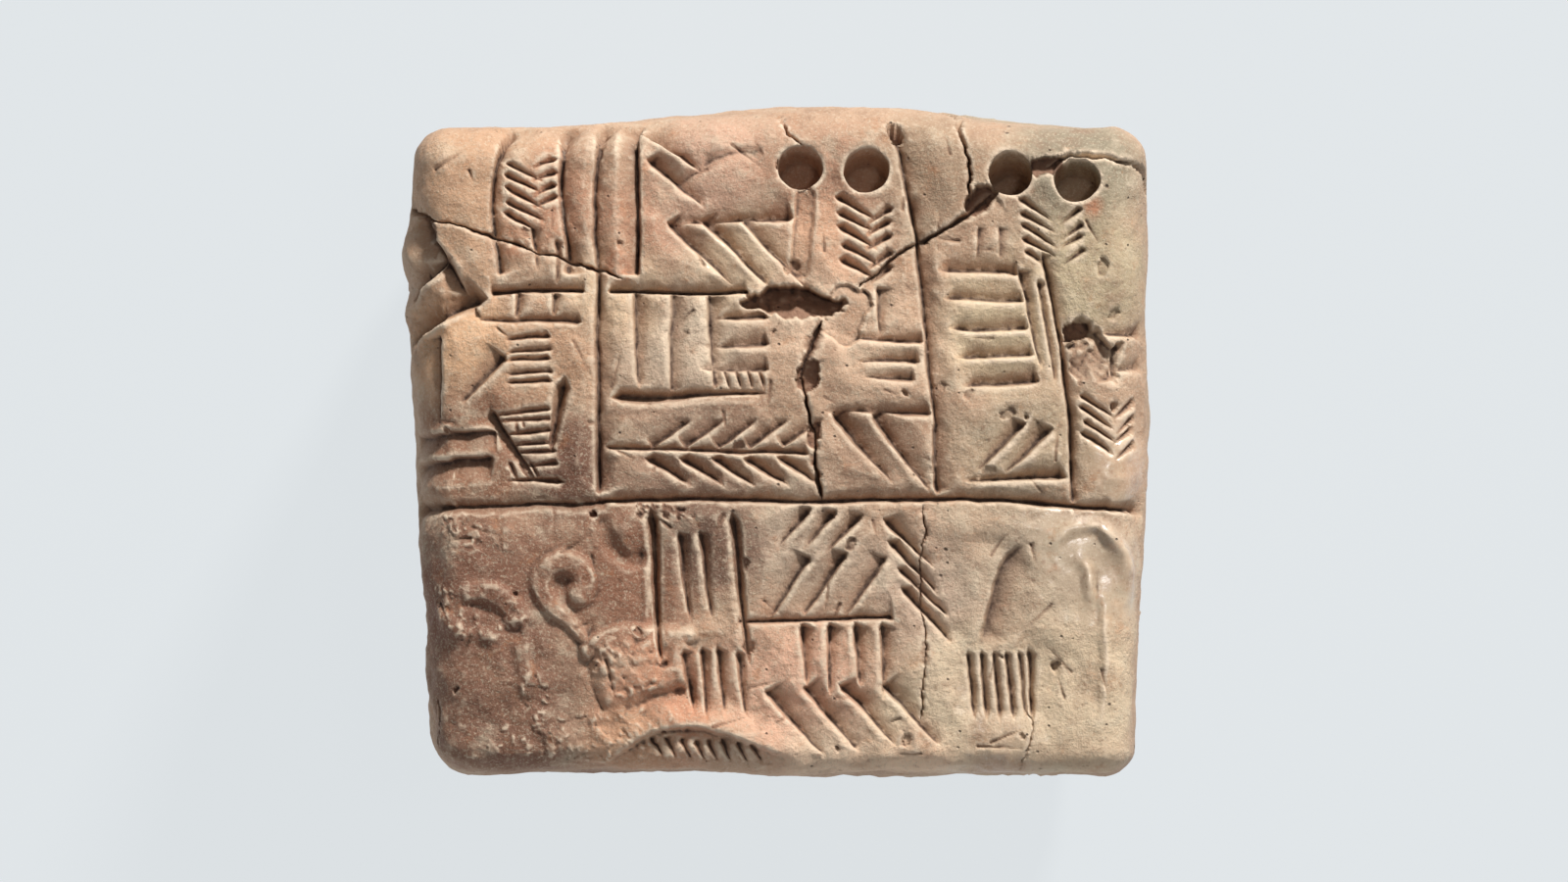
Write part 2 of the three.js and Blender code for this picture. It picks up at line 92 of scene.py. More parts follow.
def run_and_rise(gap: np.ndarray, degrees: float) -> tuple[np.ndarray, np.ndarray]:
    """Returns how far gaps run along a heading and how far they rise to its left."""
    ahead = heading(degrees)
    return gap @ ahead, gap[:, 1] * ahead[0] - gap[:, 0] * ahead[1]


def left_of(ahead: np.ndarray) -> np.ndarray:
    """Returns the unit vectors that point to the left of the ones in the rows."""
    return np.stack([-ahead[..., 1], ahead[..., 0]], axis=-1)


def pull_to(away: np.ndarray, strength: float, reach: float) -> np.ndarray:
    """Returns steps that bring places nearer to where away is 0, from no farther than about reach."""
    return strength * np.exp(-((away / reach) ** 2)) * away


def raise_to(shares: np.ndarray, chosen: np.ndarray, value: np.ndarray) -> None:
    """Raises the shares of the chosen vertices to at least that value."""
    shares[chosen] = np.maximum(shares[chosen], value)


def read(items: Items, name: str, width: int = 1) -> np.ndarray:
    """Reads one property of all items.

    Args:
        items: The mesh's vertices, edges or other items.
        name: The property's name.
        width: How many numbers each item holds.

    Returns:
        The numbers, with one item a row where it holds several.
    """
    values = np.empty(len(items) * width, np.float32)
    items.foreach_get(name, values)
    return values.astype(float).reshape(-1, width) if width > 1 else values.astype(float)


def write(items: Items, name: str, values: np.ndarray) -> None:
    """Sets one property of all items from an array."""
    items.foreach_set(name, values.astype(np.float32).ravel())


def curve_through(line: Line, per_span: int = 5) -> np.ndarray:
    """Draws a smooth curve through the points of a line.

    Args:
        line: The points, in order.
        per_span: How many places the curve has from one point to the next.

    Returns:
        The places on the curve, one a row.
    """
    knots = np.array([line[0], *line, line[-1]], float)
    places = []
    for a, b, c, d in zip(knots, knots[1:], knots[2:], knots[3:]):
        for t in np.arange(per_span) / per_span:
            bend = (2 * a - 5 * b + 4 * c - d) * t**2 + (3 * b - a - 3 * c + d) * t**3
            places.append((2 * b + (c - a) * t + bend) / 2)
    return np.array([*places, knots[-1]])


def beside(line: np.ndarray, places: np.ndarray) -> tuple[np.ndarray, np.ndarray]:
    """Measures places against a line.

    Args:
        line: The line's points, in order.
        places: The places to measure, one a row.

    Returns:
        How far each place is from the line, more than 0 on the left of its run, and the share of the
        line's length at which the place lies.
    """
    spans = np.diff(line, axis=0)
    lengths = np.hypot(*spans.T)
    begun = np.concatenate([[0], np.cumsum(lengths)])
    nearest = np.full(len(places), np.inf)
    signed = np.zeros(len(places))
    share = np.zeros(len(places))
    for start, span, length, before in zip(line, spans, lengths, begun):
        along = span / length
        gap = places - start
        run = np.clip(gap @ along, 0, length)
        away = np.hypot(*(gap - run[:, None] * along).T)
        closer = away < nearest
        nearest[closer] = away[closer]
        left = gap[:, 1] * along[0] - gap[:, 0] * along[1]
        signed[closer] = np.copysign(away, left)[closer]
        share[closer] = ((before + run) / begun[-1])[closer]
    return signed, share


class Unevenness:
    """Smooth, repeatable roughness that fills space, from -1 to 1."""

    CELLS = 64
    LAYER_STEP = 17.3  # each finer layer is read this far away, so that layers don't line up

    def __init__(self, seed: int) -> None:
        """Draws the lattice of random heights."""
        self.lattice = np.random.default_rng(seed).uniform(-1, 1, (self.CELLS,) * 3)

    def at(self, places: np.ndarray, size: float) -> np.ndarray:
        """Reads one layer of roughness.

        Args:
            places: Where to read it, one place a row.
            size: How far across its lumps are.

        Returns:
            The roughness at each place.
        """
        cell = places / size
        low = np.floor(cell).astype(int)
        part = cell - low
        blend = part * part * (3 - 2 * part)
        total = np.zeros(len(places))
        for corner in np.ndindex(2, 2, 2):
            index = (low + corner) % self.CELLS
            weight = np.prod(np.where(corner, blend, 1 - blend), axis=1)
            total += weight * self.lattice[tuple(index.T)]
        return total

    def layered(self, places: np.ndarray, size: float, layers: int = 3, keep: float = 0.5,
                apart: float = 0.0) -> np.ndarray:
        """Reads several layers, each with lumps half the size of the last.

        Args:
            places: Where to read them, one place a row.
            size: How far across the lumps of the first layer are.
            layers: How many layers there are.
            keep: How strong each layer is beside the last.
            apart: How far away it is read, so that two effects on the same clay differ.

        Returns:
            The sum of the layers at each place.
        """
        places = places + apart
        total = np.zeros(len(places))
        for layer in range(layers):
            total += keep**layer * self.at(places + layer * self.LAYER_STEP, size / 2**layer)
        return total


uneven = Unevenness(seed=11).layered


def strays(places: np.ndarray, size: float, layers: int, keep: float, apart: Spot) -> np.ndarray:
    """Returns roughness in two columns, by which places stray over the clay's map."""
    return np.stack([uneven(places, size, layers, keep, step) for step in apart], axis=1)


# ---- The block ----


@dataclass(frozen=True)
class Bulge:
    """A soft bulge of one edge of the block's outline."""

    out: float
    middle: float
    spread: float


@dataclass(frozen=True)
class Block:
    """The hand-formed block before anything is pressed into it."""

    half: Place = (30.0, 26.4, 20.5)
    edge_round: Place = (2.8, 2.6, 4.2)
    foot_round: Place = (2.8, 2.0, 2.3)  # the same along the foot
    foot_blend: Spot = (9, 3)  # the foot's rounding takes over between these distances from the foot
    back_round: Place = (5.4, 5.0, 9.0)  # and round the back
    face_dome: float = 1.3
    back_dome: float = 2.4
    face_taper: float = 0.9  # how far the sides draw in, up to the face and down to the back
    back_taper: float = 2.6
    rest_spot: float = 1.5  # depth that the back's dome is pressed flat by
    left_edge: float = -29.2
    right_edge: float = 29.8
    foot_edge: float = -26.6
    head_edge: float = 25.3
    left_bulge: Bulge = Bulge(0.65, 14, 5)
    foot_bulges: tuple[Bulge, ...] = (Bulge(0.4, 0, 5), Bulge(0.55, 24, 9))
    head_bulge: Bulge = Bulge(1.95, 6, 11.5)
    left_bend: Spot = (0.0021, 5)  # how fast the edge draws in, and from where
    right_bend: Spot = (0.0009, 8)

    def outline(self, x: np.ndarray, y: np.ndarray) -> tuple[np.ndarray, ...]:
        """Finds the outline beside each place.

        Args:
            x: The places' distances to the right.
            y: Their distances to the head.

        Returns:
            The left, right, foot and head edges.
        """

        def bulging(bulge: Bulge, along: np.ndarray) -> np.ndarray:
            """Returns how far the edge stands out."""
            return bulge.out * bell(along, bulge.middle, bulge.spread)

        left = self.left_edge - bulging(self.left_bulge, y)
        left = left + self.left_bend[0] * np.maximum(0, self.left_bend[1] - y) ** 2
        right = self.right_edge - self.right_bend[0] * (y - self.right_bend[1]) ** 2
        foot = self.foot_edge
        for bulge in self.foot_bulges:
            foot = foot - bulging(bulge, x)
        head = self.head_edge + bulging(self.head_bulge, x)
        return left, right, foot, head

    def shaped(self, cube: np.ndarray) -> np.ndarray:
        """Shapes the block.

        Args:
            cube: Points of a cube that is 2 across, one a row.

        Returns:
            Where they lie on the block, which fills the CAD's box.
        """
        half = np.array(self.half)
        place = cube * half
        to_foot = ramp(-place[:, 1], *(half[1] - np.array(self.foot_blend)))[:, None]
        to_back = ramp(-place[:, 2], -half[2] / 2, half[2] / 2)[:, None]
        soft = np.array(self.edge_round) * (1 - to_foot) + np.array(self.foot_round) * to_foot
        soft = soft * (1 - to_back) + np.array(self.back_round) * to_back
        inner = np.clip(place, soft - half, half - soft)
        over = (place - inner) / soft
        reach = np.linalg.norm(over, axis=1, keepdims=True)
        x, y, z = np.where(reach > 0, inner + over / np.maximum(reach, 1e-9) * soft, place).T
        left, right, foot, head = self.outline(x, y)
        level = z / half[2]
        draw = 1 - np.where(level > 0, self.face_taper, self.back_taper) / half[0] * level**2
        dome = np.where(level > 0, self.face_dome, self.back_dome)
        dome = dome * (1 - (x / half[0]) ** 2) * (1 - (y / half[1]) ** 2)
        bent = np.stack([
            (left + (right - left) * (x / half[0] + 1) / 2) * draw,
            (foot + (head - foot) * (y / half[1] + 1) / 2) * draw,
            np.maximum(z + dome * level, self.rest_spot - half[2] - self.back_dome),
        ], axis=1)
        low, high = bent.min(0), bent.max(0)
        box_low, box_high = (np.array(corner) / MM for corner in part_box("tablet"))
        return box_low + (bent - low) * (box_high - box_low) / (high - low)


# ---- The clay while it is worked ----


class Clay:
    """The surface of the block, and how far each place of it is pushed in or raised.

    Attributes:
        place: Where each vertex lies on the plain block.
        out: The block's outward direction at each vertex.
        map: Two coordinates a vertex, which lie flat over the face and run on down the sides.
        front: True where the written face and the sides next to it can be worked.
        flat: 1 on the face, and less where it turns down into the sides.
        raised: Height of what is uneven or swollen.
        relief: Height of the seal's relief, which stands on top of that.
        sag: How far the clay has sunk towards the marks around it.
        cut: Depth of what is pressed in, 0 or less.
        shift: Moves of the vertices inside the number holes.
        hollow, crust, scar: Shares from 0 to 1, which the clay's colours follow. Hollow darkens the colour
            with dirt and painted shade.
    """

    EDGE_LEVEL = 39.0  # the sides start to run down here
    BACK_LEVEL = 3.0
    WORKED_ABOVE = 16.0
    SAG_REACH = 2.9  # the clay sinks towards a mark from this far away
    WANDER = 0.13  # how far the marks' edges stray
    FLAT = (0.6, 0.9)  # the face counts as flat between these slopes of its outward direction
    LEAST_SLOPE = 0.3

    def __init__(self, place: np.ndarray, out: np.ndarray) -> None:
        """Lays the face's coordinates over the block.

        Args:
            place: Where each vertex lies on the plain block.
            out: The block's outward direction there.
        """
        self.place = place
        self.out = out
        drop = np.maximum(0, self.EDGE_LEVEL - place[:, 2])
        stray = strays(place, 3.2, layers=4, keep=0.55, apart=(40, 80))
        self.map = place[:, :2] + out[:, :2] * drop[:, None] + self.WANDER * stray
        self.front = place[:, 2] > self.WORKED_ABOVE
        self.flat = ramp(out[:, 2], *self.FLAT)
        self.shift = np.zeros_like(place)
        self.raised, self.relief, self.sag, self.cut, self.hollow, self.crust, self.scar = (
            np.zeros(len(place)) for _ in range(7))

    def turn_over(self) -> None:
        """Turns to the back, whose coordinates run on up the sides."""
        climb = np.maximum(0, self.place[:, 2] - self.BACK_LEVEL)
        self.map = self.place[:, :2] + self.out[:, :2] * climb[:, None]
        self.front = self.place[:, 2] < self.WORKED_ABOVE

    def near(self, line: np.ndarray, margin: float) -> np.ndarray:
        """Finds the worked vertices by a line.

        Args:
            line: The line's points.
            margin: How far round the line's box they may lie.

        Returns:
            The vertices' numbers.
        """
        low, high = line.min(0) - margin, line.max(0) + margin
        inside = np.all((self.map > low) & (self.map < high), axis=1)
        return np.flatnonzero(inside & self.front)

    def by_spot(self, spot: Spot, margin: float) -> tuple[np.ndarray, np.ndarray]:
        """Returns the numbers of the worked vertices by a spot and their gaps from it."""
        chosen = self.near(np.array([spot]), margin)
        return chosen, self.map[chosen] - spot

    def by_curve(self, line: Line, margin: float) -> tuple[np.ndarray, np.ndarray, np.ndarray]:
        """Measures the worked vertices by a smooth line.

        Args:
            line: The points that the curve runs through.
            margin: How far from the line they are wanted.

        Returns:
            The vertices' numbers, how far they are beside the line, and their shares along it.
        """
        places = curve_through(line)
        chosen = self.near(places, margin)
        return chosen, *beside(places, self.map[chosen])

    def gather(self, chosen: np.ndarray, step: np.ndarray) -> None:
        """Slides vertices along the surface, so that more of them lie where it turns sharply.

        Args:
            chosen: The vertices' numbers.
            step: How far each moves over the map.
        """
        step = step * self.flat[chosen, None]
        out = self.out[chosen]
        rise = -(out[:, :2] * step).sum(1) / np.maximum(out[:, 2], self.LEAST_SLOPE)
        self.map[chosen] += step
        self.place[chosen] += np.column_stack([step, rise])

    def press(self, chosen: np.ndarray, depth: np.ndarray) -> None:
        """Presses vertices in to at least that depth."""
        self.cut[chosen] = np.minimum(self.cut[chosen], -depth)

    def sink(self, chosen: np.ndarray, depth: float | np.ndarray, away: np.ndarray) -> None:
        """Lets vertices sink towards a mark. The sinking of marks that lie close doesn't add up.

        Args:
            chosen: The vertices' numbers.
            depth: How far the clay sinks next to the mark.
            away: How far from the mark each vertex is.
        """
        raise_to(self.sag, chosen, depth * np.clip(1 - (away / self.SAG_REACH) ** 2, 0, 1) ** 2)

    def formed(self) -> np.ndarray:
        """Returns where each vertex lies once the clay is worked. None lies under the floor."""
        rise = self.raised + self.relief - self.sag + self.cut
        place = self.place + self.shift + self.out * rise[:, None]
        place[:, 2] = np.maximum(place[:, 2], 0)
        return place


class Mark:
    """Anything that is worked into the clay. A soft mark draws no vertices to itself."""

    def gather(self, clay: Clay) -> None:
        """Draws vertices to where the mark turns the surface sharply."""

    def press(self, clay: Clay) -> None:
        """Works the mark into the clay."""


class Side(Enum):
    """The side of a stroke's run on which its broad slope lies."""

    LEFT = 1
    RIGHT = -1


@dataclass(frozen=True)
class Stroke(Mark):
    """One wedge that a stylus pressed: a broad slope on one side of its run, a steep wall on the other."""

    PULL = 0.55
    PULL_REACH = 0.06  # past the steep wall
    END = 0.3  # length over which a stroke's effects end
    HEAD_WALL = 0.5  # run of the wall at the head, as a share of the depth
    TAIL_WALL = 0.35
    SHALLOWING = 1.2  # above 1, the stroke keeps its depth longer
    NARROWING = 0.7  # below 1, the stroke keeps its breadth longer
    SLOPE_BEND = 1.6  # above 1, the broad slope is steepest next to the wall
    GRIT = 0.12
    SAG = 0.42
    SAG_MIDDLE = 0.35  # as a share of the broad slope
    RIM = 0.08  # height of the clay that swells beside the stroke, as a share of the depth
    WALL_RIM = (0.22, 0.2)  # how far beside the steep wall it swells, and its spread
    SLOPE_RIM = (0.3, 0.5)

    head: Spot
    lean: float
    length: float
    depth: float
    broad: float
    steep: float
    tail: float  # depth at the tail, as a share of the head's
    side: Side

    def measured(self, clay: Clay) -> tuple[np.ndarray, np.ndarray, np.ndarray]:
        """Measures the vertices by the stroke.

        Args:
            clay: The clay.

        Returns:
            Their numbers, how far along the stroke they are and how far towards its broad slope.
        """
        head = np.array(self.head, float)
        ends = np.stack([head, head + self.length * heading(self.lean)])
        chosen = clay.near(ends, self.broad + Clay.SAG_REACH)
        along, left = run_and_rise(clay.map[chosen] - self.head, self.lean)
        return chosen, along, self.side.value * left

    def gather(self, clay: Clay) -> None:
        """Draws vertices to the steep wall."""
        chosen, along, across = self.measured(clay)
        window = ramp(along, -self.END, 0) * ramp(-along, -self.length - self.END, -self.length)
        pull = window * pull_to(across + self.steep / 2, self.PULL, self.steep + self.PULL_REACH)
        clay.gather(chosen, -pull[:, None] * self.side.value * left_of(heading(self.lean)))

    def press(self, clay: Clay) -> None:
        """Presses the wedge, and lets the clay sink towards it and swell a little beside it."""
        chosen, along, across = self.measured(clay)
        share = np.clip(along / self.length, 0, 1)
        head_wall = np.clip(1 + along / (self.HEAD_WALL * self.depth), 0, 1)
        tail_wall = np.clip(1 - (along - self.length) / (self.TAIL_WALL + self.depth * self.tail), 0, 1)
        level = (1 - (1 - self.tail) * share**self.SHALLOWING) * head_wall * tail_wall
        some = np.maximum(level, NEARLY_NONE)
        reach = np.where(across > 0, self.broad * some**self.NARROWING, self.steep * some)
        profile = np.clip(1 - np.abs(across) / reach, 0, 1)
        profile = np.where(across > 0, profile**self.SLOPE_BEND, profile)
        grit = 1 + self.GRIT * uneven(clay.place[chosen], 0.8, layers=2, apart=19)
        clay.press(chosen, self.depth * level * profile * grit)
        raise_to(clay.hollow, chosen, profile * np.minimum(level, 1))
        overrun = np.maximum(0, np.maximum(-along, along - self.length))
        away = np.hypot(across - self.SAG_MIDDLE * self.broad, overrun)
        clay.sink(chosen, self.SAG * min(self.depth, 1), away)
        rim = bell(across, -self.steep - self.WALL_RIM[0], self.WALL_RIM[1])
        rim += bell(across, self.broad + self.SLOPE_RIM[0], self.SLOPE_RIM[1]) / 2
        window = ramp(along, -0.4, 0.2) * ramp(-along, -self.length - self.END, -self.length + 0.4)
        clay.raised[chosen] += self.RIM * self.depth * rim * window * (profile <= 0)


@dataclass(frozen=True)
class StrokeRow:
    """Strokes in a row. Each stands one step from the last and is longer than it by grow."""

    HAND = (7.3, 3.7, 2.4)  # how fast a hand's slips change over the face, and from one trait to the next
    OFF_SPOT = 0.09
    OFF_LEAN = 2.4
    OFF_LENGTH = 0.07
    OFF_DEPTH = 0.14

    at: Spot
    lean: float
    length: float
    count: int = 1
    step: Spot = (0, 0)
    grow: float = 0.0
    depth: float = 0.8
    broad: float = 1.2
    steep: float = 0.24
    tail: float = 0.4
    side: Side = Side.LEFT

    def strokes(self) -> list[Stroke]:
        """Makes the row's strokes.

        Returns:
            The strokes, each a little off as a hand makes them.
        """
        made = []
        for i in range(self.count):
            x, y = self.at[0] + i * self.step[0], self.at[1] + i * self.step[1]
            slips = [math.sin(self.HAND[0] * x + self.HAND[1] * y + self.HAND[2] * trait)
                     for trait in range(5)]
            made.append(Stroke(
                head=(x + self.OFF_SPOT * slips[0], y + self.OFF_SPOT * slips[1]),
                lean=self.lean + self.OFF_LEAN * slips[2],
                length=(self.length + i * self.grow) * (1 + self.OFF_LENGTH * slips[3]),
                depth=self.depth * (1 + self.OFF_DEPTH * slips[4]),
                broad=self.broad,
                steep=self.steep,
                tail=self.tail,
                side=self.side,
            ))
        return made


@dataclass(frozen=True)
class Ruling(Mark):
    """A case line drawn through the clay, with its broad slope on the left of its run.

    Attributes:
        line: The places it runs through.
        depth: Its depth.
        steep: Width of the steep wall on its right.
        broad: Width of the broad slope on its left.
        slot: How much deeper the narrow slit at the foot of its wall is.
        crust: How much of it is filled with pale, pitted deposit.
        fade: The share of its length over which it runs out at either end.
    """

    PULL = 0.5
    PULL_REACH = 0.35
    SLOPE_BEND = 1.7  # above 1, the broad slope is steepest next to the wall
    WALL_GAIN = 1.2  # above 1, the steep wall ends in a narrow floor
    SLIT_MIDDLE = 0.05
    SAG = 0.42
    SAG_MIDDLE = 0.3  # as a share of the broad slope
    CRUST_MIDDLE = 0.08

    line: Line
    depth: float = 0.9
    steep: float = 0.3
    broad: float = 1.5
    slot: float = 0.45
    crust: float = 0.0
    fade: float = 0.03

    def measured(self, clay: Clay) -> tuple[np.ndarray, np.ndarray, np.ndarray]:
        """Returns the vertices by the line, how far they are beside it, and their share along it."""
        return clay.by_curve(self.line, self.broad + Clay.SAG_REACH)

    def gather(self, clay: Clay) -> None:
        """Draws vertices to the line."""
        places = curve_through(self.line)
        chosen, across, share = self.measured(clay)
        index = np.clip((share * (len(places) - 1)).astype(int), 0, len(places) - 2)
        ahead = np.diff(places, axis=0)[index]
        ahead /= np.hypot(*ahead.T)[:, None]
        clay.gather(chosen, -pull_to(across, self.PULL, self.PULL_REACH)[:, None] * left_of(ahead))

    def press(self, clay: Clay) -> None:
        """Draws the line with a crumbled rim and patches of crust, and lets the clay sink towards it."""
        chosen, across, share = self.measured(clay)
        place = clay.place[chosen]
        ragged = 1 + 0.3 * uneven(place, 1.1, layers=2, apart=7)
        strength = 1 + 0.25 * uneven(place, 5.0, layers=2, apart=17)
        ends = both_ends(share, self.fade, self.fade)
        reach = np.where(across > 0, self.broad, self.steep) * ragged
        profile = np.clip(1 - np.abs(across) / reach, 0, 1)
        wall = np.minimum(self.WALL_GAIN * profile, 1)
        profile = np.where(across > 0, profile**self.SLOPE_BEND, wall) * ends
        slit = self.slot * ramp(-np.abs(across - self.SLIT_MIDDLE), -0.2 * ragged, -0.05) * ends
        patch = self.crust * ramp(uneven(place, 2.4, layers=2, apart=3), -0.7, 0.05)
        pitted = 0.5 + 0.4 * uneven(place, 0.45, layers=2, apart=5)
        depth = self.depth * profile + slit * (1 - np.minimum(2 * patch, 1))
        clay.press(chosen, depth * strength * (1 - patch * pitted))
        clay.sink(chosen, self.SAG * ends, np.abs(across - self.SAG_MIDDLE * self.broad))
        raise_to(clay.hollow, chosen, profile * (1 - patch))
        by_line = ramp(-np.abs(across + self.CRUST_MIDDLE), -0.5 * ragged, -0.15) * ends
        raise_to(clay.crust, chosen, patch * by_line)


@dataclass(frozen=True)
class NumberHole(Mark):
    """A round hole that the butt of a reed pressed. It runs down towards the foot of the face."""

    PULL = 0.5
    PULL_REACH = 0.22
    RIM = 0.1  # height of the low rim round it
    GRIT = 0.05
    WALL_BEND = 1.15
    # Dirt and painted shade: the hole gets darker with depth.
    DIRT_AND_SHADE = 0.1  # how dark it gets with each millimetre of depth

    at: Spot
    radius: float = 1.8
    depth: float = 3.7
    lean: float = 19.0
    floor: float = 0.42  # share of the hole's width that the floor takes before it is pressed
    taper: float = 0.07

    def measured(self, clay: Clay, margin: float) -> tuple[np.ndarray, np.ndarray, np.ndarray]:
        """Returns the vertices by the hole, their gaps from its middle and the gaps' lengths."""
        chosen, gap = clay.by_spot(self.at, self.radius + margin)
        return chosen, gap, np.maximum(np.hypot(*gap.T), 1e-6)

    def gather(self, clay: Clay) -> None:
        """Draws vertices to the rim."""
        chosen, gap, reach = self.measured(clay, 0.8)
        pull = pull_to(reach - self.radius, self.PULL, self.PULL_REACH)
        clay.gather(chosen, -(pull / reach)[:, None] * gap)

    def press(self, clay: Clay) -> None:
        """Pushes the disc inside the rim down along the reed."""
        chosen, gap, reach = self.measured(clay, 1.6)
        clay.raised[chosen] += self.RIM * bell(reach, self.radius + 0.35, 0.3) * (reach > self.radius)
        inside = reach < self.radius
        chosen, gap, reach = chosen[inside], gap[inside], reach[inside]
        share = reach / self.radius
        wall = np.clip((1 - share) / (1 - self.floor), 0, 1)
        narrow = self.radius * (1 - self.taper * wall)
        wide = np.where(wall < 1, narrow, narrow * share / self.floor)
        down = self.depth * wall**self.WALL_BEND
        shift = np.column_stack([gap / reach[:, None] * wide[:, None] - gap, -down])
        shift[:, 1] -= down * math.tan(math.radians(self.lean))
        grit = uneven(clay.place[chosen], 0.8)[:, None]
        clay.shift[chosen] = shift + self.GRIT * np.minimum(down, 1)[:, None] * grit
        clay.cut[chosen] = 0
        clay.raised[chosen] *= 1 - ramp(wall, 0, 0.2)
        # The hole darkens with depth: painted shade and dirt.
        raise_to(clay.hollow, chosen, self.DIRT_AND_SHADE * self.depth * ramp(wall, 0.02, 0.7))


@dataclass(frozen=True)
class Crack(Mark):
    """A narrow break. The clay on its left stands lower than on its right by lip."""

    PULL = 0.6
    PULL_REACH = 0.12  # past its width
    STEEPNESS = 1.5
    CHIP_DEPTH = 0.3

    line: Line
    width: float = 0.16
    depth: float = 1.4
    jag: float = 0.16
    lip: float = 0.0
    chips: float = 0.0

    def measured(self, clay: Clay, margin: float) -> tuple[np.ndarray, np.ndarray, np.ndarray]:
        """Measures the vertices by the break.

        Args:
            clay: The clay.
            margin: How far from the break they are wanted.

        Returns:
            Their numbers, how far they are beside the jagged break, and their shares along it.
        """
        line = np.array(self.line, float)
        chosen = clay.near(line, margin)
        jagged = strays(clay.place[chosen], 1.3, layers=3, keep=0.6, apart=(11, 23))
        return chosen, *beside(line, clay.map[chosen] + self.jag * jagged)

    def gather(self, clay: Clay) -> None:
        """Draws vertices to the break."""
        chosen, across, share = self.measured(clay, 1.0)
        spans = np.diff(np.array(self.line, float), axis=0)
        lengths = np.hypot(*spans.T)
        index = np.searchsorted(np.cumsum(lengths) / lengths.sum(), share).clip(0, len(lengths) - 1)
        aside = left_of(spans[index] / lengths[index, None])
        clay.gather(chosen, -pull_to(across, self.PULL, self.width + self.PULL_REACH)[:, None] * aside)

    def press(self, clay: Clay) -> None:
        """Opens the break, sets its sides at two levels and chips its edges."""
        chosen, across, share = self.measured(clay, 2.4)
        place = clay.place[chosen]
        ends = both_ends(share, 0.05, 0.07)
        gape = self.width * ends * (0.8 + 0.5 * uneven(place, 2.0, apart=31))
        chipped = self.chips * ramp(uneven(place, 1.1, layers=2, apart=47), 0.15, 0.5)
        profile = np.clip(1 - np.abs(across) / np.maximum(gape, NEARLY_NONE), 0, 1)
        clay.press(chosen, self.depth * np.minimum(self.STEEPNESS * profile, 1) * (gape > 0.02))
        ragged = ramp(-np.abs(across), -0.25 - 0.5 * chipped, -0.1)
        clay.press(chosen, self.CHIP_DEPTH * ragged * chipped * ends)
        lowered = ramp(across, -0.05, 0.05) * ramp(-across, -2.3, -0.3)
        clay.raised[chosen] -= self.lip * ends * lowered
        raise_to(clay.hollow, chosen, profile)
        raise_to(clay.scar, chosen, ragged * chipped * ends)


@dataclass(frozen=True)
class Flake(Mark):
    """A lost flake: a ragged hollow with broken walls and a rough floor that slopes."""

    SHALLOWEST = 0.05

    at: Spot
    radius: float
    stretch: float
    turn: float
    depth: float
    slope: float = 0.0  # how much deeper the floor is at its upper end, as a share of depth
    rough: float = 0.2
    edge: float = 0.12
    ragged: float = 0.3
    tint: float = 1.0  # how much of the scar's colour its floor shows

    def press(self, clay: Clay) -> None:
        """Takes the flake out."""
        chosen, gap = clay.by_spot(self.at, self.radius * self.stretch + 1)
        run, rise = run_and_rise(gap, self.turn)
        place = clay.place[chosen]
        stray = self.ragged * uneven(place, self.radius, layers=4, keep=0.55, apart=61)
        over = 1 - np.hypot(run / self.stretch, rise) / self.radius + stray
        inside = ramp(over, 0, self.edge)
        lumps = self.rough * uneven(place, 1.2, keep=0.65, apart=71)
        floor = 1 + self.slope * rise / self.radius + lumps
        clay.press(chosen, np.maximum(self.depth * floor, self.SHALLOWEST) * inside)
        raise_to(clay.scar, chosen, inside * self.tint)


@dataclass(frozen=True)
class Band(Mark):
    """A raised band of the seal's relief. It is wider at its end by grow, and fades at its ends by fade."""

    DOME = 0.25

    line: Line
    width: float
    height: float
    soft: float = 0.75
    fade: float = 0.1
    grow: float = 0.0

    def press(self, clay: Clay) -> None:
        """Raises the band."""
        chosen, across, share = clay.by_curve(self.line, self.width + self.grow + self.soft)
        half = (self.width + self.grow * share) / 2
        edge = ramp(half - np.abs(across), -self.soft / 2, self.soft / 2)
        top = edge * (1 - self.DOME * (across / half) ** 2)
        ends = both_ends(share, self.fade, self.fade, slack=NEARLY_NONE)
        lumps = 1 + 0.25 * uneven(clay.place[chosen], 1.2, apart=83)
        raise_to(clay.relief, chosen, self.height * top * ends * lumps)


@dataclass(frozen=True)
class Plateau(Mark):
    """A raised field inside a closed outline, which runs counter-clockwise. It domes a little inwards."""

    outline: Line
    height: float
    soft: float = 0.9
    dome: float = 0.4
    reach: float = 1.6  # how far in from the outline the dome rises

    def press(self, clay: Clay) -> None:
        """Raises the field."""
        chosen, across, _ = clay.by_curve((*self.outline, self.outline[0]), self.soft)
        lumps = 1 + 0.2 * uneven(clay.place[chosen], 1.6, apart=89)
        domed = 1 + self.dome * ramp(across, 0, self.reach)
        level = ramp(across, -self.soft / 2, self.soft / 2) * domed * lumps
        raise_to(clay.relief, chosen, self.height * level)


@dataclass(frozen=True)
class Trough(Mark):
    """A sunk band with a flat floor and soft walls."""

    line: Line
    width: float
    depth: float
    soft: float = 0.4

    def press(self, clay: Clay) -> None:
        """Sinks the band."""
        chosen, across, _ = clay.by_curve(self.line, self.width + self.soft)
        half = self.width / 2
        floor = ramp(-np.abs(across), -half - self.soft / 2, -half + self.soft / 2)
        clay.raised[chosen] -= self.depth * floor


@dataclass(frozen=True)
class Swelling(Mark):
    """A broad soft rise, or a dent where height is less than 0."""

    at: Spot
    spread: Spot
    height: float
    turn: float = 0.0

    def press(self, clay: Clay) -> None:
        """Raises or lowers the clay."""
        chosen, gap = clay.by_spot(self.at, 3 * max(self.spread))
        run, rise = run_and_rise(gap, self.turn)
        away = (run / self.spread[0]) ** 2 + (rise / self.spread[1]) ** 2
        clay.raised[chosen] += self.height * np.exp(-away / 2)


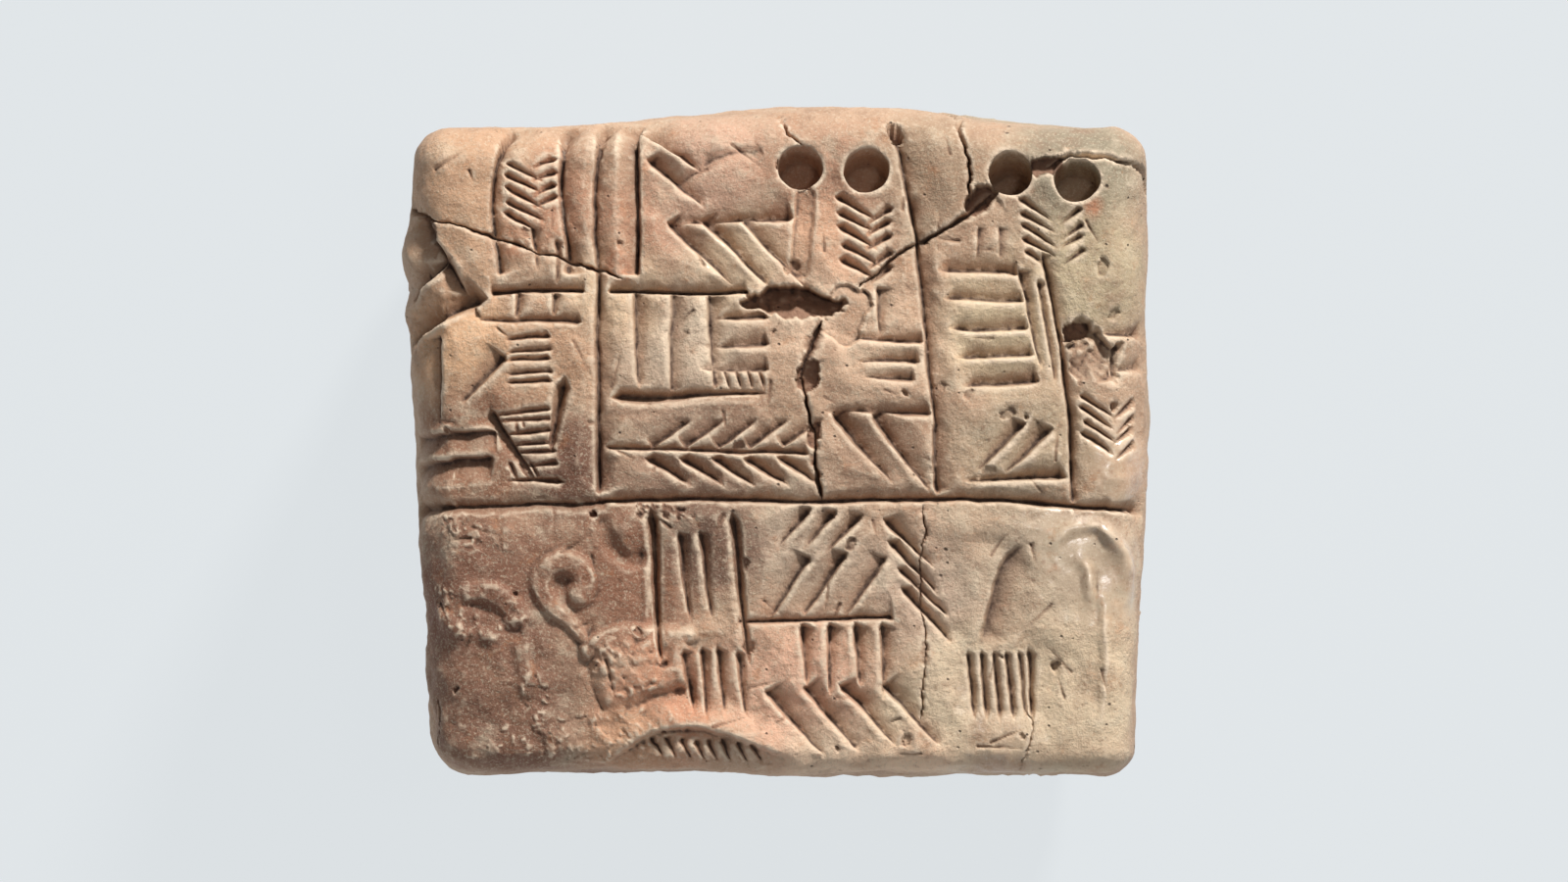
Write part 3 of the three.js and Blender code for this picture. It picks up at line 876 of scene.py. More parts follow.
@dataclass(frozen=True)
class Crumbs(Mark):
    """A patch of small hard lumps that stand out of the clay."""

    THINNING = 0.3  # how many of the lumps are gone at the patch's edge

    at: Spot
    spread: Spot
    height: float = 0.14
    size: float = 0.65
    turn: float = 0.0

    def press(self, clay: Clay) -> None:
        """Raises the lumps, which are fewer and lower towards the patch's edge."""
        chosen, gap = clay.by_spot(self.at, max(self.spread))
        run, rise = run_and_rise(gap, self.turn)
        window = np.clip(1 - (run / self.spread[0]) ** 2 - (rise / self.spread[1]) ** 2, 0, 1)
        lumps = uneven(clay.place[chosen], self.size, layers=3, keep=0.7, apart=181)
        lumps = ramp(lumps - self.THINNING * (1 - window), -0.25, 0.6)
        clay.raised[chosen] += self.height * lumps * np.minimum(2 * window, 1)


@dataclass(frozen=True)
class Fold(Mark):
    """A soft step: the clay on the left of its line stands higher by height, which fades over reach."""

    FADE = 0.25

    line: Line
    height: float
    width: float = 0.5
    reach: float = 3.0

    def press(self, clay: Clay) -> None:
        """Raises one side of the line."""
        chosen, across, share = clay.by_curve(self.line, self.reach)
        step = ramp(across, -self.width, self.width) * ramp(-across, -self.reach, -0.2)
        clay.raised[chosen] += self.height * step * both_ends(share, self.FADE, self.FADE)


# ---- Marks in groups ----


def handling_marks(scratches: int = 80, pits: int = 45, seed: int = 5) -> tuple[Mark, ...]:
    """Scatters over the face the fine scratches and pits that handling left.

    Args:
        scratches: How many scratches there are.
        pits: How many pits there are.
        seed: Where the random draws start.

    Returns:
        The marks.
    """
    draw = np.random.default_rng(seed)
    field = np.array((28, 25))
    made = []
    for _ in range(scratches):
        made.append(Stroke(
            head=tuple(draw.uniform(-field, field)),
            lean=draw.uniform(0, 360),
            length=draw.uniform(0.8, 3.2),
            depth=draw.uniform(0.1, 0.3),
            broad=draw.uniform(0.2, 0.45),
            steep=0.14,
            tail=0.3,
            side=Side.LEFT,
        ))
    for _ in range(pits):
        made.append(Flake(
            at=tuple(draw.uniform(-field, field)),
            radius=draw.uniform(0.16, 0.5),
            stretch=draw.uniform(1.0, 1.8),
            turn=draw.uniform(0, 180),
            depth=draw.uniform(0.15, 0.5),
            tint=0.3,
        ))
    return tuple(made)


def rolled_animal(at: Spot, turn: float, height: float) -> tuple[Mark, ...]:
    """Shapes the worn relief of one striding animal that the seal left.

    Args:
        at: The middle of its body on the map.
        turn: How far it is turned. At 0 it walks to the right, with its feet towards the foot of the face.
        height: How far its body stands out.

    Returns:
        The marks that shape it.
    """
    ahead, up = heading(turn), heading(turn + 90)

    def line(*spots: Spot) -> Line:
        """Returns spots of the animal as a line on the map."""
        return tuple(tuple(np.array(at) + x * ahead + y * up) for x, y in spots)

    body = line((-3.6, 0.2), (-1.6, 0.5), (0.8, 0.1), (3.2, 0.7))
    neck = line((2.8, 0.8), (4.2, 2.2), (5.8, 2.5))
    tail = line((-3.4, 0.7), (-4.9, 1.7), (-5.0, 3.2), (-4.2, 3.9))
    legs = [line((x, -0.6), (x + bend, -2.5), (x + bend / 2, -4.4))
            for x, bend in ((-3.2, -0.5), (-2.1, 0.3), (2.2, 0.5), (3.2, 0.9))]
    return (
        Band(body, width=2.5, height=height, soft=1.1, fade=0.2),
        Band(neck, width=1.5, height=height, soft=0.9, fade=0.25),
        Band(tail, width=0.7, height=0.8 * height, soft=0.7, fade=0.25),
        *(Band(leg, width=0.9, height=0.8 * height, soft=0.8, fade=0.25) for leg in legs),
    )


# ---- What the face holds ----

RIGHT = Side.RIGHT

RULINGS = (
    # The line over the lower register, the three column lines from the head down, and lines of single cases.
    Ruling(((-31.5, -5.6), (-27.6, -5.3), (-21, -5.0), (-13.4, -4.85)), depth=0.65, steep=0.6, broad=0.9,
           slot=0.3, crust=0.25),
    Ruling(((-15.2, -4.85), (-6, -4.6), (3.3, -4.8), (12.4, -4.6), (20, -4.9), (28, -5.5), (31, -5.8)),
           broad=1.1, steep=0.2, crust=0.15),
    Ruling(((-14.0, 27.2), (-14.1, 24.6), (-14.4, 18), (-14.3, 11.8), (-14.2, 4), (-14.2, -4.3)),
           crust=0.3),
    Ruling(((9.2, 25.0), (10.4, 20), (11.2, 15.6), (11.9, 7.9), (12.5, 2), (12.7, -4.6)), depth=1.0,
           crust=0.3),
    Ruling(((21.2, 15.2), (22.1, 10.4), (23.1, 4), (23.7, -5.2)), broad=1.1, crust=0.35),
    Ruling(((-13.6, 11.9), (-8, 11.8), (-2.4, 12.0)), depth=1.0, steep=0.18, broad=1.3),
    Ruling(((-22.9, 11.8), (-19, 12.0), (-15.3, 11.9)), depth=0.8, steep=0.2, broad=1.0),
    Ruling(((-3.2, -14.4), (3, -14.2), (9.4, -14.0)), depth=0.7, broad=0.8, steep=0.25, crust=0.3),
    # Three long uprights that run over the head of the face.
    Ruling(((-21.2, 26.4), (-21.6, 24.2), (-22.6, 20.6), (-22.5, 16.8), (-22.0, 13.2)), broad=1.1,
           crust=0.38),
    Ruling(((-16.9, 26.4), (-16.9, 24.0), (-17.1, 20.2), (-16.7, 16.4), (-16.7, 13.2)), steep=0.4,
           crust=0.38),
    Ruling(((-11.1, 13.0), (-11.1, 18.0), (-11.2, 22.0), (-11.0, 26.6)), steep=0.25, broad=1.9, crust=0.3),
)

HOLES = (
    NumberHole((1.9, 21.9)),
    NumberHole((7.1, 21.7)),
    NumberHole((18.6, 21.4), depth=5.4),
    NumberHole((23.9, 20.9)),
)

# Rows of plain strokes: the first stroke's head, its lean and length, then the row's count and step.
STROKE_ROWS = (
    # First column, upper case: two stacks of short strokes, and short uprights under them.
    StrokeRow((-21.4, 22.2), -27, 2.7, 5, (0, -1.05), depth=0.75, broad=0.66, steep=0.2),
    StrokeRow((-17.7, 22.5), 205, 1.5, 4, (0.05, -1.05), depth=0.75, broad=0.66, steep=0.2, side=RIGHT),
    StrokeRow((-19.4, 17.0), -88, 3.0, 2, (1.9, -1.3), depth=0.7, broad=0.9),
    # First column, lower case: uprights under the case line, level strokes, and two stacks below them.
    StrokeRow((-20.6, 11.6), -90, 1.9, 2, (2.8, 0), depth=0.8, broad=1.1),
    StrokeRow((-15.9, 9.4), 180, 7.2, depth=0.9, broad=1.0, side=RIGHT),
    StrokeRow((-18.1, 8.2), 183, 2.9, 5, (0, -0.86), depth=0.55, broad=0.6, steep=0.16, tail=0.7,
              side=RIGHT),
    StrokeRow((-18.2, 2.7), 184, 4.4, 6, (0.1, -0.88), grow=-0.35, depth=0.6, broad=0.6, steep=0.18,
              side=RIGHT),
    StrokeRow((-17.0, 4.3), -101, 4.3, depth=1.7, broad=0.8, steep=0.6, tail=0.6),
    StrokeRow((-22.6, 2.3), -57, 5.4, depth=1.2, broad=1.3, steep=0.3, side=RIGHT),
    StrokeRow((-21.4, -1.8), -62, 1.3, 3, (0.85, 0), depth=0.5, broad=0.45, steep=0.2),
    StrokeRow((-17.4, -3.3), 180, 3.6, depth=1.0, broad=0.5, steep=0.2, side=RIGHT),
    # Second column, upper case: two slanting strokes, then three under a level one, and two stacks.
    StrokeRow((-10.4, 24.9), -40, 4.8, 2, (0.3, -2.7), depth=1.3, broad=1.9, steep=0.3),
    StrokeRow((0.9, 17.8), 180, 9.0, depth=1.1, broad=1.7, steep=0.2, side=RIGHT),
    StrokeRow((-8.5, 17.3), -45, 6.8, 3, (2.9, 0.1), depth=1.1, broad=1.9),
    StrokeRow((4.9, 19.4), -28, 2.8, 5, (0.1, -1.25), depth=0.95, broad=0.8),
    StrokeRow((9.0, 18.6), 212, 1.8, 5, (0, -1.2), depth=0.85, broad=0.75, side=RIGHT),
    # Second column, lower case: uprights, a stack of level strokes with ticks under it, and slanting rows.
    StrokeRow((-11.3, 11.6), -88, 7.0, 3, (2.9, 0), depth=1.0, broad=2.0, tail=0.6),
    StrokeRow((-1.0, 9.9), 180, 4.2, 3, (0, -2.1), depth=0.8, broad=1.4, tail=0.7, side=RIGHT),
    StrokeRow((-5.0, 5.6), -75, 1.3, 5, (0.9, 0), depth=0.5, broad=0.45, steep=0.16),
    StrokeRow((-12.4, 3.4), 1, 11.6, depth=1.7, broad=1.0, steep=0.45, tail=0.3),
    StrokeRow((-9.9, -0.3), 34, 3.0, 5, (2.6, 0), depth=0.9, broad=1.4, steep=0.2, tail=0.7),
    StrokeRow((2.2, -1.1), 180, 15.2, depth=0.9, broad=0.9, steep=0.18, tail=0.7, side=RIGHT),
    StrokeRow((-10.0, -1.5), -34, 3.0, 5, (2.6, 0), depth=1.1, broad=1.4, tail=0.6),
    # Second column, right-hand case.
    StrokeRow((7.9, 12.2), -88, 3.8, depth=0.8, broad=1.6),
    StrokeRow((11.4, 7.8), 176, 5.4, 3, (-0.4, -1.45), grow=-1.1, depth=0.85, broad=1.3, side=RIGHT),
    StrokeRow((11.9, 2.2), 180, 7.3, depth=0.95, broad=1.3, side=RIGHT),
    StrokeRow((4.7, 1.9), -51, 6.4, 2, (3, 0), depth=1.3, broad=2.0, steep=0.3),
    # Third column: two faint uprights, level strokes beside two uprights, a slanting pair over a level one.
    StrokeRow((16.2, 17.0), -90, 3.0, 2, (1.7, -0.1), depth=0.22, broad=0.9),
    StrokeRow((19.0, 13.4), 181, 5.0, 5, (0.35, -2.15), depth=0.95, broad=1.6, steep=0.2, tail=0.8,
              side=RIGHT),
    StrokeRow((19.5, 13.5), -81, 7.8, 2, (1.5, -1.0), depth=0.85, broad=1.2),
    StrokeRow((19.5, 1.3), 222, 4.8, 2, (2.2, -0.6), depth=1.1, broad=1.8, side=RIGHT),
    StrokeRow((22.6, -2.9), 180, 7.4, depth=1.2, broad=1.5, steep=0.2, side=RIGHT),
    # Fourth column: two pairs of stacks, and level strokes that run in from the edge between them.
    StrokeRow((19.5, 19.1), -32, 2.5, 5, (0.12, -1.0), depth=0.7, broad=0.62, steep=0.2),
    StrokeRow((24.2, 18.3), 215, 1.6, 4, (0.05, -1.0), depth=0.65, broad=0.58, steep=0.2, side=RIGHT),
    StrokeRow((30.2, 8.3), 180, 3.8, 2, (0, -2.5), depth=0.75, broad=1.6, side=RIGHT),
    StrokeRow((24.2, 3.7), -33, 2.6, 4, (0.08, -1.05), depth=0.7, broad=0.62, steep=0.2),
    StrokeRow((28.6, 3.0), 216, 1.7, 4, (0, -1.05), depth=0.7, broad=0.62, steep=0.2, side=RIGHT),
    # Lower register, left of its middle: two rows of uprights, of which the outer two are deep.
    StrokeRow((-9.9, -6.2), -85, 10.4, 2, (6.4, 0), depth=1.8, broad=0.6, steep=0.5, tail=0.5),
    StrokeRow((-7.9, -7.4), -84, 6.6, 2, (1.8, 0), depth=1.0, broad=0.9, steep=0.3),
    StrokeRow((-7.4, -16.9), -84, 4.4, 4, (1.4, 0), depth=1.0, broad=0.95, steep=0.3),
    # Lower register, middle: slanting strokes, uprights, and longer slanting strokes under them.
    StrokeRow((2.3, -5.5), 228, 3.0, 3, (2.1, -0.4), depth=1.2, broad=1.3, side=RIGHT),
    StrokeRow((2.4, -9.3), 236, 5.4, 3, (3.0, 0), depth=1.0, broad=1.8, side=RIGHT),
    StrokeRow((2.0, -14.9), -88, 4.6, 4, (2.15, 0), depth=1.2, broad=1.3, steep=0.3),
    StrokeRow((-0.8, -20.1), -48, 5.8, 4, (3.1, 0.2), depth=1.0, broad=2.0),
    # Lower register, right of its middle: a ragged slanting stack and a row of uprights.
    StrokeRow((8.8, -6.4), -45, 4.6, 4, (0.5, -1.9), depth=1.2, broad=1.4),
    StrokeRow((15.4, -17.0), -84, 4.1, 5, (0.93, 0.03), depth=0.75, broad=0.6, steep=0.2, tail=1),
    StrokeRow((19.9, -16.8), -86, 4.4, depth=1.2, broad=0.6, steep=0.3, tail=0.8),
    # Along the foot: a row of ticks.
    StrokeRow((-9.9, -23.7), -62, 1.5, 8, (1.12, -0.05), depth=0.5, broad=0.6, steep=0.25),
    # Over the left edge: broad strokes, which leave lobes in the outline.
    StrokeRow((-28.8, 18.2), -58.5, 8.3, depth=1.9, broad=3.0, steep=0.4, tail=0.65, side=RIGHT),
    StrokeRow((-26.4, 14.2), 214, 5.4, depth=1.3, broad=2.2, steep=0.5, side=RIGHT),
    StrokeRow((-23.8, 11.0), 206, 7.2, depth=1.7, broad=3.0, steep=0.4, tail=0.8, side=RIGHT),
    StrokeRow((-27.2, 8.2), -89, 5.8, depth=0.9, broad=1.6, steep=0.3, side=RIGHT),
    StrokeRow((-22.6, 0.9), 184, 9.5, 2, (-0.4, -2.1), depth=0.8, broad=2.0, steep=0.3, tail=0.8),
    StrokeRow((-21.6, 6.6), 228, 4.6, depth=0.7, broad=2.4, steep=0.4, side=RIGHT),
)

# The open joints of the mended breaks, and fine cracks.
CRACKS = (
    Crack(((-33, 18.9), (-27.9, 17.8), (-24.9, 17.1), (-21.7, 15.9), (-16.6, 14.3), (-12.0, 13.0)),
          lip=0.22, chips=0.5),
    Crack(((13.6, 45), (13.8, 33), (14.4, 25.2), (15.1, 23.4), (15.5, 20.8), (15.3, 18.3)), lip=-0.12,
          chips=0.3),
    Crack(((38, 20.6), (32, 21.4), (27.8, 22.4), (25.4, 23.0), (23.4, 22.9), (21.2, 21.6)), width=0.24,
          lip=0.25, chips=0.4),
    Crack(((17.4, 19.8), (15.2, 18.2), (13.4, 17.0), (11.3, 15.8)), width=0.34, depth=1.8, lip=0.3,
          chips=0.6),
    Crack(((11.3, 15.8), (9.2, 14.6), (7.4, 13.1), (6.4, 12.2)), width=0.17, lip=0.15, chips=0.8),
    Crack(((3.6, 9.6), (2.4, 7.0), (2.0, 5.6), (2.4, 3.2), (3.0, 0), (3.5, -4.8)), width=0.26, lip=-0.15,
          chips=0.9),
    Crack(((11.6, -4.6), (11.8, -8), (11.4, -12), (11.8, -16), (11.4, -22.5)), width=0.085, depth=0.9,
          chips=0.6),
    Crack(((19.8, -21.4), (20.5, -22.4), (20.0, -24.0), (19.4, -25.6), (19.2, -28.5)), width=0.06,
          depth=0.5),
    Crack(((0.1, 27), (0.3, 25.6), (0.8, 24.6), (2.0, 23.5)), width=0.1, depth=0.8),
    Crack(((-27.4, -20.4), (-27.0, -21.8), (-27.3, -23.4), (-28.6, -24.4)), width=0.1, depth=0.7),
)

# What is lost beside the breaks and elsewhere: each flake's middle, its radius and its stretch.
FLAKES = (
    Flake((1.3, 11.1), 1.35, 3.1, turn=-5, depth=2.1, slope=0.6, rough=0.14, ragged=0.22),
    Flake((5.4, 10.3), 1.9, 1.2, turn=60, depth=0.42, slope=-0.3, rough=0.1, tint=0.15),
    Flake((2.4, 5.2), 0.9, 1.8, turn=60, depth=1.1),
    Flake((2.9, 0.6), 0.6, 2.0, turn=85, depth=0.8),
    Flake((16.0, 19.3), 0.9, 1.6, turn=38, depth=1.7, slope=0.4),
    Flake((21.4, 21.9), 0.75, 2.4, turn=6, depth=1.0, slope=0.4),
    Flake((25.2, 6.8), 2.3, 1.25, turn=-40, depth=0.8, slope=0.8, rough=0.35, edge=0.2, tint=0.45),
    Flake((23.7, 8.8), 0.8, 1.4, turn=20, depth=1.7, rough=0.12),
    Flake((-28.0, 17.3), 0.8, 1.9, turn=-55, depth=0.9),
    Flake((-14.0, 25.4), 0.4, 1.6, turn=80, depth=1.5),
    Flake((9.3, 24.6), 0.55, 1.6, turn=-70, depth=1.8, rough=0.05),
    Flake((-9.4, -5.45), 0.55, 3.4, turn=-2, depth=0.2, rough=0.6, edge=0.6, ragged=0.9),
    Flake((-14.7, -5.75), 0.26, 1.3, turn=-30, depth=0.9, rough=0.05),
)

# The seal's picture on the face: an animal, worn and soft.
SEAL = (
    # A curled tail in two runs, an arched neck over a lower lip, a leg and the rump.
    Band(((-14.8, -16.3), (-16.3, -14.5), (-17.9, -13.1), (-18.75, -11.5), (-18.3, -10.2), (-17.2, -9.5)),
         width=0.8, height=0.5, soft=0.7, fade=0, grow=1.0),
    Band(((-17.9, -9.8), (-17.0, -9.5), (-15.9, -9.9), (-15.3, -11.0), (-15.7, -12.0)), width=1.8,
         height=0.5, soft=0.7, fade=0, grow=0.2),
    Band(((-25.4, -12.6), (-24.6, -12.0), (-23.2, -11.9), (-21.9, -12.3), (-20.8, -13.4), (-20.0, -14.9)),
         width=1.5, height=0.5, soft=0.8, fade=0.15, grow=0.5),
    Band(((-27.2, -12.6), (-26.4, -13.9), (-25.0, -15.1), (-23.0, -15.3), (-21.4, -14.8)), width=1.3,
         height=0.36, soft=1.0, fade=0.25),
    Band(((-20.4, -14.8), (-20.2, -17.6), (-19.7, -21.0)), width=1.4, height=0.3, soft=0.8, fade=0.3),
    Band(((-14.9, -16.6), (-14.2, -15.9), (-13.0, -15.4), (-11.2, -15.2), (-9.0, -15.5), (-7.2, -15.5)),
         width=1.5, height=0.8, soft=0.8, fade=0),
    Plateau(((-14.9, -16.2), (-14.7, -17.6), (-14.3, -19.2), (-13.4, -20.9), (-12.0, -20.8), (-10.3, -20.0),
             (-8.3, -19.4), (-7.0, -18.8), (-7.2, -15.2), (-9.9, -14.7), (-11.9, -14.7), (-13.5, -15.2)),
            height=0.72, soft=1.1, dome=0.3),
    # Soft rises and dents of its body, and the hard crumbs that stand round it.
    Swelling((-22.6, -18.6), (2.6, 1.6), 0.25, turn=-30),
    Swelling((-16.6, -19.4), (1.0, 1.8), -0.22, turn=10),
    Swelling((-10.6, -21.5), (1.6, 0.8), 0.4, turn=12),
    Swelling((-17.1, -11.3), (0.5, 0.5), -0.3),
    Crumbs((-25.4, -7.2), (3.6, 1.8), turn=-8),
    Crumbs((-25.6, -13.6), (3.4, 1.5), turn=-45),
    Crumbs((-21.0, -14.2), (1.8, 1.6), size=0.7),
    Crumbs((-12.0, -17.9), (3.6, 3.0), size=0.9),
    Crumbs((-19.0, -20.8), (1.6, 3.0), turn=10),
    Crumbs((-16.0, -23.8), (10.5, 2.6), size=0.9, turn=4),
    Crumbs((-11.6, -22.4), (3.6, 1.8), size=1.1, turn=20),
)

# A hook and a short groove that are sunk beside the tail, and other soft dents that the hand left.
SUNK = (
    Trough(((-13.9, -6.6), (-13.5, -7.9), (-12.8, -9.0), (-11.8, -9.5), (-10.9, -9.3)), width=1.1,
           depth=0.38, soft=0.9),
    Trough(((-7.6, 20.6), (-6.4, 21.7), (-5.2, 22.6), (-3.6, 23.0), (-1.8, 23.1)), width=0.2, depth=0.6,
           soft=1.7),
    Trough(((2.3, 19.6), (2.1, 16.8), (1.9, 13.9)), width=1.5, depth=0.35, soft=0.4),
)

# The seal's worn picture on the four sides: a row of animals that follow one another round the block.
ROUND_THE_SIDES = tuple(
    mark
    for at, turn, height in (
        ((-17.5, -43.2), 0, 0.42), ((0.5, -42.9), 0, 0.36), ((17.5, -43.4), 0, 0.42),
        ((45.8, -13.0), 90, 0.42), ((46.0, 3.5), 90, 0.34), ((45.4, 18.5), 90, 0.4),
        ((17.0, 42.6), 180, 0.4), ((-1.0, 43.4), 180, 0.42), ((-18.0, 41.8), 180, 0.36),
        ((-45.4, 17.0), -90, 0.36), ((-45.6, 0.0), -90, 0.42), ((-43.4, -15.5), -90, 0.4),
    )
    for mark in rolled_animal(at, turn, height)
)

# The back and the sides next to it: breaks that run through, dents of the hand and a few soft rises.
BACK = (
    Crack(((12.4, 34), (12.9, 27), (13.6, 20), (11.8, 12), (9.0, 6.5), (4.6, 2.0), (2.2, -5.0)), lip=0.15,
          chips=0.5),
    Crack(((2.2, -5.0), (4.6, -14), (9.6, -22), (11.6, -31)), width=0.12, chips=0.5),
    Crack(((-36, 12.8), (-26, 11.4), (-14, 7.2), (-4, 5.6), (4.6, 2.0)), width=0.14, lip=-0.12, chips=0.4),
    Flake((9.4, 6.8), 1.6, 1.6, turn=50, depth=0.7),
    Flake((-21, -17), 1.3, 1.9, turn=20, depth=0.5),
    Flake((21.5, -30.5), 2.6, 1.5, turn=5, depth=0.5, slope=0.4, edge=0.35, ragged=0.5, tint=0.4),
    Flake((-33.0, 9.0), 2.2, 1.4, turn=80, depth=0.4, edge=0.35, ragged=0.5, tint=0.4),
    Flake((30.6, 21.0), 2.0, 1.5, turn=60, depth=0.5, edge=0.35, ragged=0.5, tint=0.4),
    Flake((-9.0, 31.5), 1.9, 1.7, turn=-8, depth=0.4, edge=0.35, ragged=0.5, tint=0.4),
    Crumbs((-12.0, -36.0), (7.0, 3.5), size=0.9),
    Crumbs((-38.0, -12.0), (3.0, 7.0), size=0.9),
    Crumbs((10.0, 8.0), (7.0, 5.0), size=0.8, turn=30),
    Swelling((-12, 12), (5, 4), -0.35, turn=20),
    Swelling((10, -12), (6, 4), -0.3, turn=-30),
    Swelling((-10, -10), (4, 5), 0.3),
    Swelling((16, 14), (5, 4), 0.25),
)

# Soft steps, rises and dents of the face, which the hand and the seal left.
SOFT_MARKS = (
    Fold(((-9.6, 17.6), (-8.8, 19.4), (-7.8, 20.8)), height=-0.4, width=0.7, reach=2.6),
    Ruling(((20.0, -8.0), (18.4, -9.6), (17.6, -11.2), (17.2, -13.2), (16.2, -16.9)), depth=0.75,
           steep=0.55, broad=2.5, slot=0, fade=0.22),
    Swelling((17.0, -8.2), (1.7, 0.6), -0.32, turn=-8),
    Fold(((-14.6, -26.0), (-11.8, -24.2), (-9.1, -22.9), (-5.9, -22.9), (-3.0, -23.7), (0.2, -24.9),
          (1.8, -25.8)), height=0.95, width=0.35, reach=2.6),
    Fold(((-21.9, -6.2), (-21.7, -9.0)), height=0.16, width=0.2, reach=2.0),
    Swelling((13.6, 22.4), (2.0, 2.2), 0.4),
    Swelling((12.3, 19.4), (0.8, 1.4), -0.35, turn=20),
    Swelling((-5.2, 20.2), (2.4, 1.4), 0.35, turn=25),
    Swelling((-24.8, 19.0), (2.4, 2.6), 0.25),
    # Lobes of the left edge, between the strokes that run over it.
    Swelling((-34.5, 15.4), (4.5, 1.5), 0.55),
    Swelling((-34.5, 12.1), (4.0, 0.5), -0.25),
    Swelling((-34.5, 9.9), (4.0, 0.9), 0.3),
    Swelling((-34.5, 5.2), (4.0, 1.4), 0.25),
    # Other soft rises and dents, and the worn end of the seal's picture near the right edge.
    Swelling((-25.2, 5.4), (1.6, 2.6), 0.3),
    Swelling((26.4, 14.0), (2.4, 4.0), 0.25),
    Swelling((21.8, -18.4), (1.1, 0.4), -0.3, turn=60),
    Swelling((-12.2, -9.0), (1.1, 0.9), -0.2, turn=-40),
    Swelling((24.6, 7.6), (1.2, 0.9), 0.5, turn=-30),
    Band(((21.6, -9.0), (23.0, -7.0), (25.4, -6.6), (27.2, -8.4), (27.9, -11.0), (27.7, -14.0)), width=1.1,
         height=0.5, soft=1.0, fade=0.35),
    Band(((24.0, -8.6), (24.8, -10.6), (24.9, -13.6)), width=0.9, height=0.42, soft=0.9, fade=0.4),
    Band(((25.6, -10.5), (26.1, -14.0), (26.0, -19.0), (25.6, -24.0)), width=0.6, height=0.3, soft=0.9,
         fade=0.35),
    Swelling((26.0, -9.6), (0.7, 1.4), -0.2, turn=20),
    Swelling((18.6, -23.0), (2.2, 1.3), 0.25),
    Swelling((15.2, 5.0), (1.4, 3.0), 0.2),
    Swelling((16.4, 2.6), (0.8, 1.6), 0.2, turn=10),
)


# ---- The tablet ----


@dataclass(frozen=True)
class Lumps:
    """Uneven clay: lumps that high and that far across, in layers."""

    height: float
    size: float
    layers: int
    apart: float
    keep: float = 0.5

    def over(self, place: np.ndarray) -> np.ndarray:
        """Returns the lumps' height at each place."""
        return self.height * uneven(place, self.size, self.layers, self.keep, self.apart)


# Where each side of the cube lies on the map: its axis and whether it is the upper one, its corner and size.
MAP_SIDES = {
    (2, True): ((0.005, 0.005), (0.685, 0.622)),
    (2, False): ((0.705, 0.005), (0.288, 0.262)),
    (1, True): ((0.705, 0.28), (0.288, 0.199)),
    (1, False): ((0.705, 0.49), (0.288, 0.199)),
    (0, True): ((0.005, 0.64), (0.262, 0.199)),
    (0, False): ((0.28, 0.64), (0.262, 0.199)),
}


